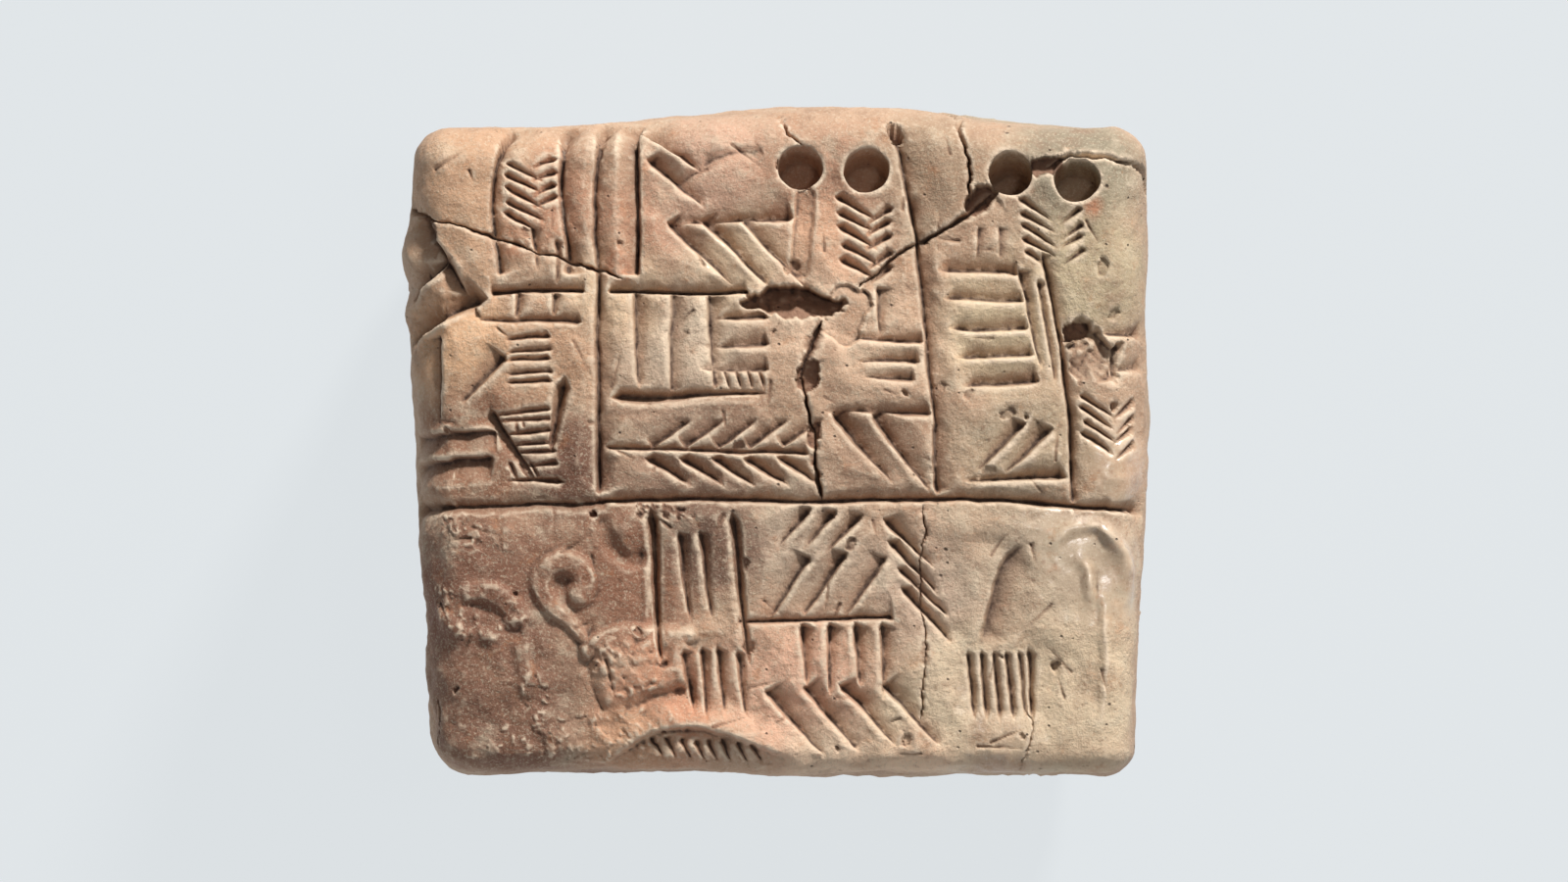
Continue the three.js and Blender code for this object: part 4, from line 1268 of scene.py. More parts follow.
@dataclass(frozen=True)
class ClayTablet:
    """The whole tablet: one block of clay, worked on its face, and plainer on its sides and back."""

    TOP = 1 - 1e-4  # the cube's upper side lies above this

    name: str = "clay_tablet"
    block: Block = Block()
    cells: tuple[int, int, int] = (64, 58, 44)  # cells along each edge of the cube, before they are halved
    face_cuts: int = 3
    edge_band: float = 0.7  # above this share of the half height, the cells of the sides are halved again
    triangles: int = 194_000
    hand_lumps: tuple[Lumps, ...] = (Lumps(0.32, 11, 2, 101), Lumps(0.17, 4.2, 3, 111))
    side_lumps: Lumps = Lumps(0.15, 5.6, 4, 161, 0.6)
    side_levels: Spot = (30, 27)  # the sides are sunk below these levels, so that the face keeps its outline
    side_sunk: float = 0.6
    sunk_levels: Spot = (9, 14)
    worn_lumps: Lumps = Lumps(0.13, 1.7, 3, 131)  # the corner between the left and the foot is worn lumpy
    worn_lean: float = 0.35
    worn_reach: Spot = (8, 24)
    fine_lumps: Lumps = Lumps(0.045, 1.1, 3, 151, 0.65)
    turn_rounds: int = 3  # how often the turning of the surface is averaged with its neighbours

    def add_cube(self) -> bpy.types.Object:
        """Adds a cube and cuts its edges evenly, and its face and upper sides finer still.

        Returns:
            The piece, in triangles.
        """
        bpy.ops.object.select_all(action="DESELECT")
        bpy.ops.mesh.primitive_cube_add(size=2)
        piece = bpy.context.object
        piece.name = piece.data.name = self.name
        bpy.ops.object.mode_set(mode="EDIT")
        bpy.ops.mesh.select_mode(type="EDGE")
        for axis, cells in enumerate(self.cells):
            self.select_edges(piece, lambda a, b, axis=axis: abs(a[axis] - b[axis]) > 1)
            bpy.ops.mesh.subdivide(number_cuts=cells - 1)
        bpy.ops.mesh.select_all(action="SELECT")
        bpy.ops.mesh.subdivide(number_cuts=1)
        bpy.ops.mesh.select_mode(type="FACE")
        self.select_faces(piece, lambda middle: self.edge_band < middle.z < self.TOP)
        bpy.ops.mesh.subdivide(number_cuts=1)
        self.select_faces(piece, lambda middle: middle.z > self.TOP)
        bpy.ops.mesh.subdivide(number_cuts=self.face_cuts)
        bpy.ops.mesh.select_all(action="SELECT")
        bpy.ops.mesh.quads_convert_to_tris(quad_method="SHORTEST_DIAGONAL", ngon_method="BEAUTY")
        bpy.ops.object.mode_set(mode="OBJECT")
        return piece

    def select_edges(self, piece: bpy.types.Object, wanted: Callable[[Vector, Vector], bool]) -> None:
        """Selects some of a piece's edges.

        Args:
            piece: The piece, in edit mode.
            wanted: Says yes to the two ends of an edge that is wanted.
        """
        bpy.ops.mesh.select_all(action="DESELECT")
        mesh = bmesh.from_edit_mesh(piece.data)
        for edge in mesh.edges:
            edge.select_set(wanted(edge.verts[0].co, edge.verts[1].co))
        bmesh.update_edit_mesh(piece.data)

    def select_faces(self, piece: bpy.types.Object, wanted: Callable[[Vector], bool]) -> None:
        """Selects some of a piece's faces.

        Args:
            piece: The piece, in edit mode.
            wanted: Says yes to the middle of a face that is wanted.
        """
        bpy.ops.mesh.select_all(action="DESELECT")
        mesh = bmesh.from_edit_mesh(piece.data)
        for face in mesh.faces:
            face.select_set(wanted(face.calc_center_median()))
        bmesh.update_edit_mesh(piece.data)

    def work(self, clay: Clay) -> None:
        """Works the clay: the seal is rolled first, then come the cases and strokes, and last the breaks."""
        strokes = [stroke for row in STROKE_ROWS for stroke in row.strokes()]
        for mark in (*RULINGS, *strokes, *HOLES, *CRACKS):
            mark.gather(clay)
        for lumps in self.hand_lumps:
            clay.raised += lumps.over(clay.place)
        for mark in (*SOFT_MARKS, *SEAL, *ROUND_THE_SIDES, *SUNK, *RULINGS, *strokes, *handling_marks(),
                     *FLAKES, *CRACKS, *HOLES):
            mark.press(clay)
        clay.turn_over()
        for mark in BACK:
            mark.press(clay)
        level = clay.place[:, 2]
        side = ramp(-level, -self.side_levels[0], -self.side_levels[1])
        sunk = self.side_sunk * ramp(level, *self.sunk_levels)
        clay.raised += side * (self.side_lumps.over(clay.place) - sunk)
        worn = ramp(-clay.place[:, 0] * self.worn_lean - clay.place[:, 1], *self.worn_reach)
        clay.raised += worn * self.worn_lumps.over(clay.place)
        clay.raised += self.fine_lumps.over(clay.place)

    def turned(self, mesh: bpy.types.Mesh) -> np.ndarray:
        """Measures how the surface turns at each vertex.

        Args:
            mesh: The tablet's mesh.

        Returns:
            Shares towards 1 in a hollow and towards -1 on an edge.
        """
        place, out = read(mesh.vertices, "co", 3), read(mesh.vertices, "normal", 3)
        ends = read(mesh.edges, "vertices", 2).astype(int)
        gap = place[ends[:, 1]] - place[ends[:, 0]]
        far = np.maximum((gap**2).sum(1), 1e-4)
        rises = [(gap * out[ends[:, 0]]).sum(1) / far, -(gap * out[ends[:, 1]]).sum(1) / far]
        count = np.bincount(ends.ravel(), minlength=len(place))
        bend = sum(np.bincount(ends[:, i], rises[i], len(place)) for i in (0, 1)) / count
        for _ in range(self.turn_rounds):
            spread = sum(np.bincount(ends[:, i], bend[ends[:, 1 - i]], len(place)) for i in (0, 1))
            bend = (bend + spread / count) / 2
        return np.clip(bend / 2, -1, 1)

    def build(self) -> bpy.types.Object:
        """Makes the tablet and lets it ride on the part's only body.

        Returns:
            The finished piece.
        """
        piece = self.add_cube()
        mesh = piece.data
        cube = read(mesh.vertices, "co", 3)
        write(mesh.vertices, "co", self.block.shaped(cube))
        mesh.update()
        clay = Clay(read(mesh.vertices, "co", 3), read(mesh.vertices, "normal", 3))
        self.work(clay)
        write(mesh.vertices, "co", clay.formed())
        mesh.update()
        shares = {"hollow": clay.hollow, "crust": clay.crust, "scar": clay.scar, "turned": self.turned(mesh)}
        for name, share in shares.items():
            write(mesh.attributes.new(name, "FLOAT", "POINT").data, "value", share)
        write(mesh.attributes.new("cube", "FLOAT_VECTOR", "POINT").data, "vector", cube)
        LOG.info("%s is worked, with %d triangles", self.name, len(mesh.polygons))
        self.thin_out(piece)
        self.lay_out_map(mesh)
        mesh.transform(Matrix.Scale(MM, 4))
        bpy.ops.object.shade_smooth()
        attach(piece, "root")
        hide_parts("tablet")
        LOG.info("%s is finished, with %d triangles", self.name, len(mesh.polygons))
        return piece

    def thin_out(self, piece: bpy.types.Object) -> None:
        """Takes out the triangles that the clay's shape can spare."""
        bpy.context.view_layer.objects.active = piece
        thin = piece.modifiers.new("thin", "DECIMATE")
        thin.ratio = self.triangles / len(piece.data.polygons)
        bpy.ops.object.modifier_apply(modifier=thin.name)

    def lay_out_map(self, mesh: bpy.types.Mesh) -> None:
        """Lays the cube's six sides beside each other on a map, the written face larger than the rest."""
        cube = read(mesh.attributes["cube"].data, "vector", 3)
        corners = read(mesh.loops, "vertex_index").astype(int).reshape(-1, 3)
        middle = cube[corners].mean(1)
        axis = np.abs(middle).argmax(1)
        up = np.take_along_axis(middle, axis[:, None], 1)[:, 0] > 0
        places = np.zeros((len(corners), 3, 2))
        for (side, top), (corner, size) in MAP_SIDES.items():
            chosen = (axis == side) & (up == top)
            across, along = (i for i in range(3) if i != side)
            spots = (cube[corners[chosen]][:, :, [across, along]] + 1) / 2
            places[chosen] = np.array(corner) + spots * size
        layer = mesh.uv_layers.new(name="OFBake")
        write(layer.uv, "vector", places)


# ---- The clay's finish ----

Value = float | tuple[float, ...] | Socket


class Wiring:
    """Adds nodes to one tree and joins them. A value given to a node is a number, a colour or a socket."""

    def __init__(self, tree: bpy.types.NodeTree) -> None:
        """Starts with an empty tree."""
        self.tree = tree
        tree.nodes.clear()

    def add(self, kind: str, inputs: dict[str | int, Value] | None = None,
            **settings: object) -> bpy.types.Node:
        """Adds a node.

        Args:
            kind: Its type.
            inputs: What its inputs are set or joined to.
            **settings: Its other settings.

        Returns:
            The node.
        """
        node = self.tree.nodes.new(kind)
        for name, setting in settings.items():
            setattr(node, name, setting)
        for name, value in (inputs or {}).items():
            self.join(node.inputs[name], value)
        return node

    def join(self, socket: Socket, value: Value) -> None:
        """Sets a socket, or joins another to it.

        Args:
            socket: A node's input.
            value: What it gets.
        """
        if isinstance(value, Socket):
            self.tree.links.new(value, socket)
        else:
            socket.default_value = value

    def sum(self, operation: str, *values: Value) -> Socket:
        """Works out a sum.

        Args:
            operation: The kind of sum.
            *values: Its one, two or three numbers.

        Returns:
            The result.
        """
        node = self.add("ShaderNodeMath", operation=operation)
        for socket, value in zip(node.inputs, values):
            self.join(socket, value)
        return node.outputs[0]

    def times(self, one: Value, other: Value) -> Socket:
        """Returns one number times another."""
        return self.sum("MULTIPLY", one, other)

    def between(self, value: Value, low: float, high: float | Socket, start: float = 0.0,
                end: float = 1.0) -> Socket:
        """Returns start up to low and end from high, with a smooth rise or fall between them."""
        inputs = {"Value": value, "From Min": low, "From Max": high, "To Min": start, "To Max": end}
        return self.add("ShaderNodeMapRange", inputs, interpolation_type="SMOOTHSTEP").outputs["Result"]

    def mix(self, share: Value, one: Value, other: Value) -> Socket:
        """Mixes two colours.

        Args:
            share: How much of the other colour there is.
            one: The first colour.
            other: The other colour.

        Returns:
            The mixed colour.
        """
        node = self.add("ShaderNodeMix", data_type="RGBA")
        for socket, value in zip((node.inputs[0], node.inputs[6], node.inputs[7]), (share, one, other)):
            self.join(socket, value)
        return node.outputs[2]

    def noise(self, vector: Socket, size: float, detail: float = 3, rough: float = 0.5) -> Socket:
        """Returns soft noise with lumps about size across."""
        inputs = {"Vector": vector, "Scale": 1 / size, "Detail": detail, "Roughness": rough}
        return self.add("ShaderNodeTexNoise", inputs).outputs["Fac"]

    def share(self, name: str) -> Socket:
        """Returns one of the shares that the piece's vertices hold."""
        return self.add("ShaderNodeAttribute", attribute_name=name).outputs["Fac"]


def new_group(name: str, inputs: dict[str, str],
              outputs: dict[str, str]) -> tuple[Wiring, bpy.types.Node, bpy.types.Node]:
    """Starts a node group.

    Args:
        name: The group's name.
        inputs: Its inputs' names and socket types.
        outputs: Its outputs' names and socket types.

    Returns:
        The group's wiring and its input and output nodes.
    """
    tree = bpy.data.node_groups.new(name, "ShaderNodeTree")
    for way, sockets in (("INPUT", inputs), ("OUTPUT", outputs)):
        for socket, kind in sockets.items():
            tree.interface.new_socket(socket, in_out=way, socket_type=f"NodeSocket{kind}")
    wiring = Wiring(tree)
    return wiring, wiring.add("NodeGroupInput"), wiring.add("NodeGroupOutput")


def stain_group(full: float = 0.35, gone: float = 1.15) -> bpy.types.NodeTree:
    """Makes a group that marks a soft patch round a centre. Wave makes its edge ragged.

    Args:
        full: The patch is full up to here, as a share of its radius.
        gone: It is gone from here.

    Returns:
        The group.
    """
    inputs = {"Vector": "Vector", "Centre": "Vector", "Radius": "Float", "Wave": "Float"}
    wiring, given, result = new_group("stain", inputs, {"Mask": "Float"})
    away = wiring.add("ShaderNodeVectorMath", {0: given.outputs["Vector"], 1: given.outputs["Centre"]},
                      operation="DISTANCE").outputs["Value"]
    share = wiring.sum("ADD", wiring.sum("DIVIDE", away, given.outputs["Radius"]), given.outputs["Wave"])
    wiring.join(result.inputs["Mask"], wiring.between(share, full, gone, start=1.0, end=0.0))
    return wiring.tree


def pits_group() -> bpy.types.NodeTree:
    """Makes a group that scatters small round pits. Share is how many of the cells hold one.

    Returns:
        The group.
    """
    inputs = {"Vector": "Vector", "Cell": "Float", "Share": "Float", "Radius": "Float"}
    wiring, given, result = new_group("pits", inputs, {"Pit": "Float"})
    scale = wiring.sum("DIVIDE", 1.0, given.outputs["Cell"])
    cells = wiring.add("ShaderNodeTexVoronoi", {"Vector": given.outputs["Vector"], "Scale": scale})
    chance = wiring.add("ShaderNodeSeparateColor", {"Color": cells.outputs["Color"]}).outputs["Red"]
    held = wiring.sum("LESS_THAN", chance, given.outputs["Share"])
    inside = wiring.between(cells.outputs["Distance"], 0.0, given.outputs["Radius"], start=1.0, end=0.0)
    wiring.join(result.inputs["Pit"], wiring.times(inside, held))
    return wiring.tree


@dataclass(frozen=True)
class Stain:
    """A soft patch of another colour in the clay."""

    at: Place
    radius: float
    colour: Colour


@dataclass(frozen=True)
class Polish:
    """A patch that was rubbed smooth, by share."""

    at: Place
    radius: float
    share: float


# Each stain's middle, its radius, and the red, green and blue of its colour, in the order of mixing.
STAINS = tuple(
    Stain((x, y, z), radius, (red, green, blue, 1))
    for x, y, z, radius, red, green, blue in (
        (-25, 21, 41, 9, 0.600, 0.360, 0.218), (-18, 19, 41, 5, 0.583, 0.297, 0.180),
        (-11.5, 17.5, 41, 5, 0.547, 0.286, 0.177), (-5, 21, 41, 7, 0.624, 0.375, 0.258),
        (3.5, 20, 41, 7, 0.494, 0.269, 0.169), (12.5, 22, 41, 6, 0.419, 0.280, 0.181),
        (24, 22, 41, 8, 0.295, 0.244, 0.167), (25.5, 13.5, 41, 7, 0.551, 0.437, 0.280),
        (17.5, 9, 41, 6, 0.800, 0.622, 0.405), (9, 8, 41, 5.5, 0.720, 0.483, 0.325),
        (4.5, 15, 41, 5, 0.675, 0.388, 0.243), (-7.5, 7.5, 41, 6, 0.800, 0.620, 0.455),
        (-19, 7, 41, 6, 0.569, 0.335, 0.203), (-26.5, 8, 41, 6, 0.765, 0.462, 0.267),
        (-24, -1, 41, 7, 0.324, 0.154, 0.087), (-7, -1.5, 41, 8, 0.399, 0.246, 0.166),
        (8, -1, 41, 6, 0.466, 0.296, 0.196), (20, -1, 41, 7, 0.518, 0.382, 0.251),
        (-24, -13, 41, 10, 0.255, 0.116, 0.070), (-12, -11, 41, 8, 0.297, 0.135, 0.078),
        (-22, -22, 41, 9, 0.240, 0.114, 0.070), (-9, -21, 41, 7, 0.640, 0.315, 0.188),
        (2, -8, 41, 6, 0.534, 0.391, 0.282), (2, -20, 41, 8, 0.800, 0.470, 0.318),
        (12, -12, 41, 6, 0.627, 0.448, 0.326), (22, -9, 41, 9, 0.563, 0.425, 0.297),
        (24, -20, 41, 9, 0.722, 0.554, 0.375), (12, -23, 41, 6, 0.800, 0.635, 0.435),
        (15, -18, 41, 5, 0.770, 0.590, 0.405), (-3, 14, 41, 5, 0.800, 0.585, 0.392),
        (-17, -2, 41, 5, 0.192, 0.086, 0.052), (-13, 12, 41, 5, 0.800, 0.569, 0.372),
        (-5, -8, 41, 5, 0.227, 0.125, 0.083), (3, 10, 41, 5, 0.792, 0.546, 0.377),
        # The three stains along the foot, at level 40, are lighter and more orange, partly as painted light
        # that lifts the shade of the strokes there.
        (-11.5, -24.5, 40, 4.5, 0.620, 0.345, 0.205), (4, -25, 40, 4.5, 0.830, 0.600, 0.420),
        (11, -25.5, 40, 4.5, 0.830, 0.580, 0.395), (25.1, 18.7, 41, 1.2, 0.560, 0.230, 0.120),
        (-12.6, 14.2, 41, 2.2, 0.620, 0.270, 0.150), (-10.9, 22.2, 41, 1.6, 0.620, 0.280, 0.150),
        (-21.5, 15.6, 41, 1.6, 0.600, 0.260, 0.140), (-14, -28, 24, 15, 0.330, 0.180, 0.115),
        (18, -28, 18, 15, 0.600, 0.420, 0.270), (-31, -12, 20, 14, 0.340, 0.185, 0.118),
        (-31, 14, 22, 13, 0.590, 0.350, 0.220), (31, 6, 20, 15, 0.520, 0.400, 0.265),
        (20, 28, 24, 15, 0.410, 0.320, 0.220), (-10, 28, 20, 14, 0.600, 0.380, 0.240),
        (6, 27, 8, 8, 0.300, 0.175, 0.115), (8, -4, 0, 18, 0.560, 0.350, 0.225),
        (-16, 8, 0, 12, 0.350, 0.205, 0.135),
    )
)


@dataclass(frozen=True)
class ClayFinish:
    """Dry, pale clay: sandy grain, dark pinholes of painted shade, dirt and painted shade in grooves and
    corners, edges lightened by wear and a painted highlight, and chalky crust.
    """

    tan: Colour = (0.555, 0.358, 0.235, 1)
    # Brown of the clouds and flecks, and also of the dirt and painted shade in the grooves.
    brown: Colour = (0.30, 0.165, 0.10, 1)
    # Near black: dirt and painted shade in the grooves, corners and pinholes.
    dirt_and_shade: Colour = (0.07, 0.036, 0.023, 1)
    scar: Colour = (0.22, 0.105, 0.062, 1)
    chalk: Colour = (0.70, 0.57, 0.45, 1)
    # Pale cream of the edges, worn light and also lit with a painted highlight.
    rubbed: Colour = (0.82, 0.65, 0.48, 1)
    rust: Colour = (0.50, 0.21, 0.09, 1)
    sand: Colour = (0.70, 0.60, 0.44, 1)
    roughness: float = 0.74
    polish: float = 0.27  # roughness where the clay was rubbed smooth
    sheen_roughness: float = 0.2
    bump_strength: float = 0.9
    bump_height: float = 0.17
    stains: tuple[Stain, ...] = STAINS
    polished: tuple[Polish, ...] = (
        Polish((22.5, -8, 41), 4, 1.0),
        Polish((26, -11, 41), 5, 1.0),
        Polish((27.5, -2, 40), 4, 1.0),
        Polish((-4, 15, 41), 6, 0.45),
        Polish((17, -24, 40), 6, 0.4),
    )

    def material(self) -> bpy.types.Material:
        """Makes the clay's material.

        Returns:
            The material.
        """
        made = bpy.data.materials.new("clay")
        made.use_nodes = True
        wiring = Wiring(made.node_tree)
        place = wiring.add("ShaderNodeTexCoord").outputs["Object"]
        place = wiring.add("ShaderNodeVectorMath", {0: place, "Scale": 1 / MM}, operation="SCALE").outputs[0]
        fine_pits = self.pits(wiring, place, cell=0.9, share=0.16, radius=0.17)
        deep_pits = self.pits(wiring, place, cell=2.6, share=0.22, radius=0.085)
        crumbs = wiring.noise(place, 0.5, detail=4, rough=0.7)
        crust = self.crusted(wiring, crumbs)
        colour = self.stained(wiring, place)
        colour = self.mottled(wiring, place, colour)
        colour = self.worn(wiring, place, colour)
        chalky = wiring.mix(wiring.between(crumbs, 0.35, 0.6), self.scar, self.chalk)
        colour = wiring.mix(crust, colour, chalky)
        # The pinholes are painted near black, as painted shade inside them.
        colour = wiring.mix(wiring.times(fine_pits, 0.75), colour, self.dirt_and_shade)
        colour = wiring.mix(deep_pits, colour, self.dirt_and_shade)
        shader = wiring.add("ShaderNodeBsdfPrincipled", {"Base Color": colour})
        rubbed = self.rubbed_smooth(wiring, place)
        wiring.join(shader.inputs["Roughness"], self.smoothness(wiring, place, rubbed))
        patchy = wiring.between(wiring.noise(place, 0.8, detail=5, rough=0.7), 0.6, 0.42)
        wiring.join(shader.inputs["Coat Weight"], wiring.times(rubbed, patchy))
        wiring.join(shader.inputs["Coat Roughness"], self.sheen_roughness)
        pitted = wiring.sum("MAXIMUM", fine_pits, deep_pits)
        height = self.grain(wiring, place, rubbed)
        height = wiring.sum("SUBTRACT", height, wiring.times(pitted, 1.6))
        height = wiring.sum("ADD", height, wiring.times(wiring.times(crumbs, crust), 2.5))
        bump = wiring.add("ShaderNodeBump", {"Height": height, "Strength": self.bump_strength,
                                             "Distance": self.bump_height * MM})
        wiring.join(shader.inputs["Normal"], bump.outputs["Normal"])
        output = wiring.add("ShaderNodeOutputMaterial")
        wiring.join(output.inputs["Surface"], shader.outputs["BSDF"])
        return made

    def pits(self, wiring: Wiring, place: Socket, cell: float, share: float, radius: float) -> Socket:
        """Scatters pinholes.

        Args:
            wiring: The material's wiring.
            place: Places on the clay.
            cell: How far apart the places are that can hold one.
            share: How many of them do.
            radius: Their size, as a share of a cell's.

        Returns:
            Their mask.
        """
        tree = bpy.data.node_groups.get("pits") or pits_group()
        inputs = {"Vector": place, "Cell": cell, "Share": share, "Radius": radius}
        return self.placed(wiring, tree, inputs).outputs["Pit"]

    def patch(self, wiring: Wiring, place: Socket, wave: Socket, patch: Stain | Polish) -> Socket:
        """Marks one stain or polished patch.

        Args:
            wiring: The material's wiring.
            place: Places on the clay.
            wave: What makes the patch's edge ragged.
            patch: The patch.

        Returns:
            Its mask.
        """
        tree = bpy.data.node_groups.get("stain") or stain_group()
        inputs = {"Vector": place, "Centre": patch.at, "Radius": patch.radius, "Wave": wave}
        return self.placed(wiring, tree, inputs).outputs["Mask"]

    def placed(self, wiring: Wiring, tree: bpy.types.NodeTree, inputs: dict[str, Value]) -> bpy.types.Node:
        """Returns a group that is placed in the material with its own values."""
        made = wiring.add("ShaderNodeGroup", node_tree=tree)
        for name, value in inputs.items():
            wiring.join(made.inputs[name], value)
        return made

    def wave(self, wiring: Wiring, place: Socket) -> Socket:
        """Returns the noise that makes the edges of stains ragged."""
        return wiring.times(wiring.sum("SUBTRACT", wiring.noise(place, 4.2, detail=6, rough=0.65), 0.5), 0.9)

    def stained(self, wiring: Wiring, place: Socket) -> Socket:
        """Colours the clay with its broad stains.

        Args:
            wiring: The material's wiring.
            place: Places on the clay.

        Returns:
            The colour.
        """
        colour, wave = self.tan, self.wave(wiring, place)
        for stain in self.stains:
            colour = wiring.mix(self.patch(wiring, place, wave, stain), colour, stain.colour)
        return colour

    def mottled(self, wiring: Wiring, place: Socket, colour: Socket) -> Socket:
        """Adds clouds, flecks and sand grains.

        Args:
            wiring: The material's wiring.
            place: Places on the clay.
            colour: The clay's colour so far.

        Returns:
            The colour with them.
        """
        clouds = wiring.noise(place, 3.6, detail=6, rough=0.66)
        rust = wiring.noise(place, 2.3, detail=5, rough=0.7)
        flecks = wiring.noise(place, 0.5, detail=5, rough=0.75)
        grains = wiring.noise(place, 0.22, detail=3, rough=0.7)
        for noise, low, high, start, end, tint in (
            (clouds, 0.5, 0.72, 0, 0.55, self.brown),
            (clouds, 0.3, 0.48, 0.42, 0, self.sand),
            (rust, 0.56, 0.74, 0, 0.5, self.rust),
            (flecks, 0.52, 0.7, 0, 0.6, self.brown),
            (grains, 0.5, 0.68, 0, 0.45, self.sand),
        ):
            colour = wiring.mix(wiring.between(noise, low, high, start, end), colour, tint)
        return colour

    def worn(self, wiring: Wiring, place: Socket, colour: Socket) -> Socket:
        """Adds scars, edges lightened by wear and a painted highlight, and dirt and painted shade in hollows
        and corners.

        Args:
            wiring: The material's wiring.
            place: Places on the clay.
            colour: The clay's colour so far.

        Returns:
            The colour with them.
        """
        turn, scar, hollow = (wiring.share(name) for name in ("turned", "scar", "hollow"))
        patchy = wiring.noise(place, 0.9, detail=4, rough=0.65)
        colour = wiring.mix(wiring.times(scar, 0.85), colour, self.scar)
        # Brown in the grooves: dirt and painted shade.
        colour = wiring.mix(wiring.between(hollow, 0.02, 0.5, end=0.5), colour, self.brown)
        # Edges are lightened: wear and a painted highlight.
        rim = wiring.between(turn, -0.45, -0.03, start=1, end=0)
        rim = wiring.times(rim, wiring.between(patchy, 0.3, 0.6, start=0.4))
        rim = wiring.times(rim, wiring.between(scar, 0, 1, start=1, end=0.25))
        colour = wiring.mix(rim, colour, self.rubbed)
        # Near black in concave corners and deep grooves: dirt and painted shade.
        corners = wiring.between(turn, 0.05, 0.5)
        dirt_and_shade = wiring.sum("MAXIMUM", corners, wiring.times(wiring.between(hollow, 0.4, 1.0), 0.8))
        dirt_and_shade = wiring.times(dirt_and_shade, wiring.between(patchy, 0.25, 0.65, start=0.55))
        return wiring.mix(dirt_and_shade, colour, self.dirt_and_shade)

    def crusted(self, wiring: Wiring, crumbs: Socket) -> Socket:
        """Returns the mask of the chalky crust, broken up by its crumbs."""
        broken = wiring.between(crumbs, 0.3, 0.55, start=0.15)
        return wiring.times(wiring.between(wiring.share("crust"), 0.2, 0.75), broken)

    def rubbed_smooth(self, wiring: Wiring, place: Socket) -> Socket:
        """Marks the polished patches, which are gone from all that is hollow.

        Args:
            wiring: The material's wiring.
            place: Places on the clay.

        Returns:
            Their mask.
        """
        mask, wave = 0.0, self.wave(wiring, place)
        for patch in self.polished:
            share = wiring.times(self.patch(wiring, place, wave, patch), patch.share)
            mask = wiring.sum("MAXIMUM", mask, share)
        return wiring.times(mask, wiring.between(wiring.share("hollow"), 0.02, 0.2, start=1, end=0))

    def smoothness(self, wiring: Wiring, place: Socket, rubbed: Socket) -> Socket:
        """Makes the roughness: dull clay with polished patches.

        Args:
            wiring: The material's wiring.
            place: Places on the clay.
            rubbed: The mask of the polished patches.

        Returns:
            The roughness.
        """
        grain = wiring.noise(place, 0.35, detail=4, rough=0.7)
        dull = wiring.between(grain, 0.35, 0.65, self.roughness - 0.08, self.roughness + 0.1)
        inputs = {0: rubbed, 2: dull, 3: self.polish}
        return wiring.add("ShaderNodeMix", inputs, data_type="FLOAT").outputs[0]

    def grain(self, wiring: Wiring, place: Socket, rubbed: Socket) -> Socket:
        """Makes the height of the sandy grain, which is low where the clay was rubbed smooth.

        Args:
            wiring: The material's wiring.
            place: Places on the clay.
            rubbed: The mask of the polished patches.

        Returns:
            The height, with its middle at 0.
        """
        fine = wiring.noise(place, 0.4, detail=5, rough=0.75)
        broad = wiring.times(wiring.noise(place, 1.3, detail=4, rough=0.6), 1.6)
        height = wiring.sum("SUBTRACT", wiring.sum("ADD", fine, broad), 1.3)
        return wiring.times(height, wiring.between(rubbed, 0, 1, start=1.0, end=0.2))


# ---- The studio ----


@dataclass(frozen=True)
class Lamp:
    """A square soft lamp. It stands that far from the middle of the face and looks at it."""

    name: str
    towards: Place
    distance: float
    size: float
    watts: float
    colour: tuple[float, float, float] = (1, 1, 1)

    def build(self, target: Vector) -> None:
        """Adds the lamp, which looks at the target."""
        data = bpy.data.lights.new(self.name, "AREA")
        data.size = self.size
        data.energy = self.watts
        data.color = self.colour
        lamp = bpy.data.objects.new(self.name, data)
        bpy.context.scene.collection.objects.link(lamp)
        back = Vector(self.towards).normalized()
        lamp.location = target + back * self.distance
        lamp.rotation_euler = back.to_track_quat("Z", "Y").to_euler()


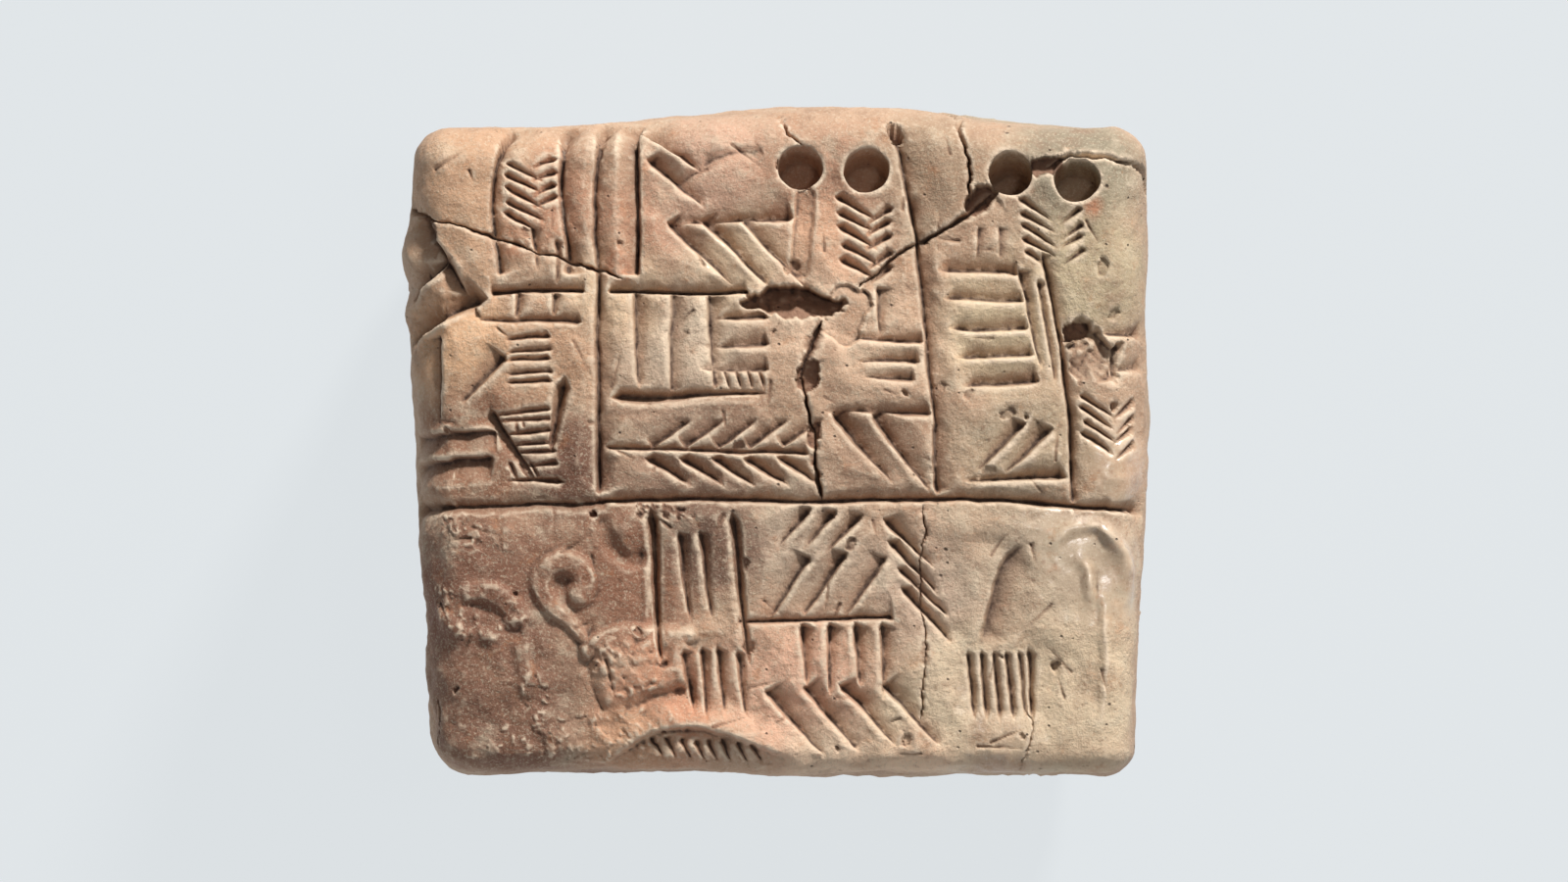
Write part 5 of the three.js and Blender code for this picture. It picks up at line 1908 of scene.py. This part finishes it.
@dataclass(frozen=True)
class Studio:
    """A plain pale floor, soft light from beyond the head, and a camera that looks straight down."""

    floor_size: float = 6.0
    floor_colour: Colour = (0.035, 0.036, 0.037, 1)
    floor_roughness: float = 0.9
    floor_glow: Colour = (0.70, 0.737, 0.76, 1)
    sky: Colour = (0.93, 0.96, 1.0, 1)
    sky_strength: float = 0.125
    aim: Spot = (0.56, 0.08)
    camera_height: float = 700.0
    camera_reach: Spot = (0.05, 20)  # the nearest and the farthest that it sees
    view_width: float = 128.3  # at the tablet's widest level
    sensor: float = 36.0
    lamps: tuple[Lamp, ...] = (
        Lamp("key", (0.36, 0.80, 0.52), distance=0.9, size=0.12, watts=11.3, colour=(1, 0.98, 0.95)),
        Lamp("gloss", (0.22, 0.06, 1.0), distance=0.9, size=0.09, watts=0.95),
        Lamp("foot", (-0.1, -0.9, 0.4), distance=0.9, size=0.4, watts=1.0),
    )

    def build(self) -> None:
        """Makes the floor, the lamps, the sky and the camera."""
        low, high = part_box("tablet")
        middle = (low + high) / 2
        self.build_floor()
        for lamp in self.lamps:
            lamp.build(Vector((middle.x, middle.y, high.z)))
        self.build_sky()
        self.build_camera(middle.z)
        bpy.context.scene.view_settings.view_transform = "Standard"

    def build_sky(self) -> None:
        """Makes the even light from all round."""
        world = bpy.data.worlds.new("sky")
        world.use_nodes = True
        sky = world.node_tree.nodes["Background"]
        sky.inputs["Color"].default_value = self.sky
        sky.inputs["Strength"].default_value = self.sky_strength
        bpy.context.scene.world = world

    def build_camera(self, level: float) -> None:
        """Makes the camera, which stands its height above a level."""
        data = bpy.data.cameras.new("camera")
        data.sensor_width = self.sensor
        data.lens = self.sensor * self.camera_height / self.view_width
        data.clip_start, data.clip_end = self.camera_reach
        camera = bpy.data.objects.new("camera", data)
        camera.location = (self.aim[0] * MM, self.aim[1] * MM, level + self.camera_height * MM)
        bpy.context.scene.collection.objects.link(camera)
        bpy.context.scene.camera = camera

    def build_floor(self) -> None:
        """Makes the pale floor."""
        bpy.ops.object.select_all(action="DESELECT")
        bpy.ops.mesh.primitive_plane_add(size=self.floor_size)
        floor = bpy.context.object
        floor.name = "floor"
        material = bpy.data.materials.new("floor")
        material.use_nodes = True
        shader = material.node_tree.nodes["Principled BSDF"]
        shader.inputs["Base Color"].default_value = self.floor_colour
        shader.inputs["Roughness"].default_value = self.floor_roughness
        shader.inputs["Emission Color"].default_value = self.floor_glow
        shader.inputs["Emission Strength"].default_value = 1.0
        floor.data.materials.append(material)


def main() -> None:
    """Builds the tablet and its studio."""
    logging.basicConfig(level=logging.INFO, format="%(name)s: %(message)s")
    tablet = ClayTablet().build()
    tablet.data.materials.append(ClayFinish().material())
    Studio().build()


if __name__ == "__main__":
    main()
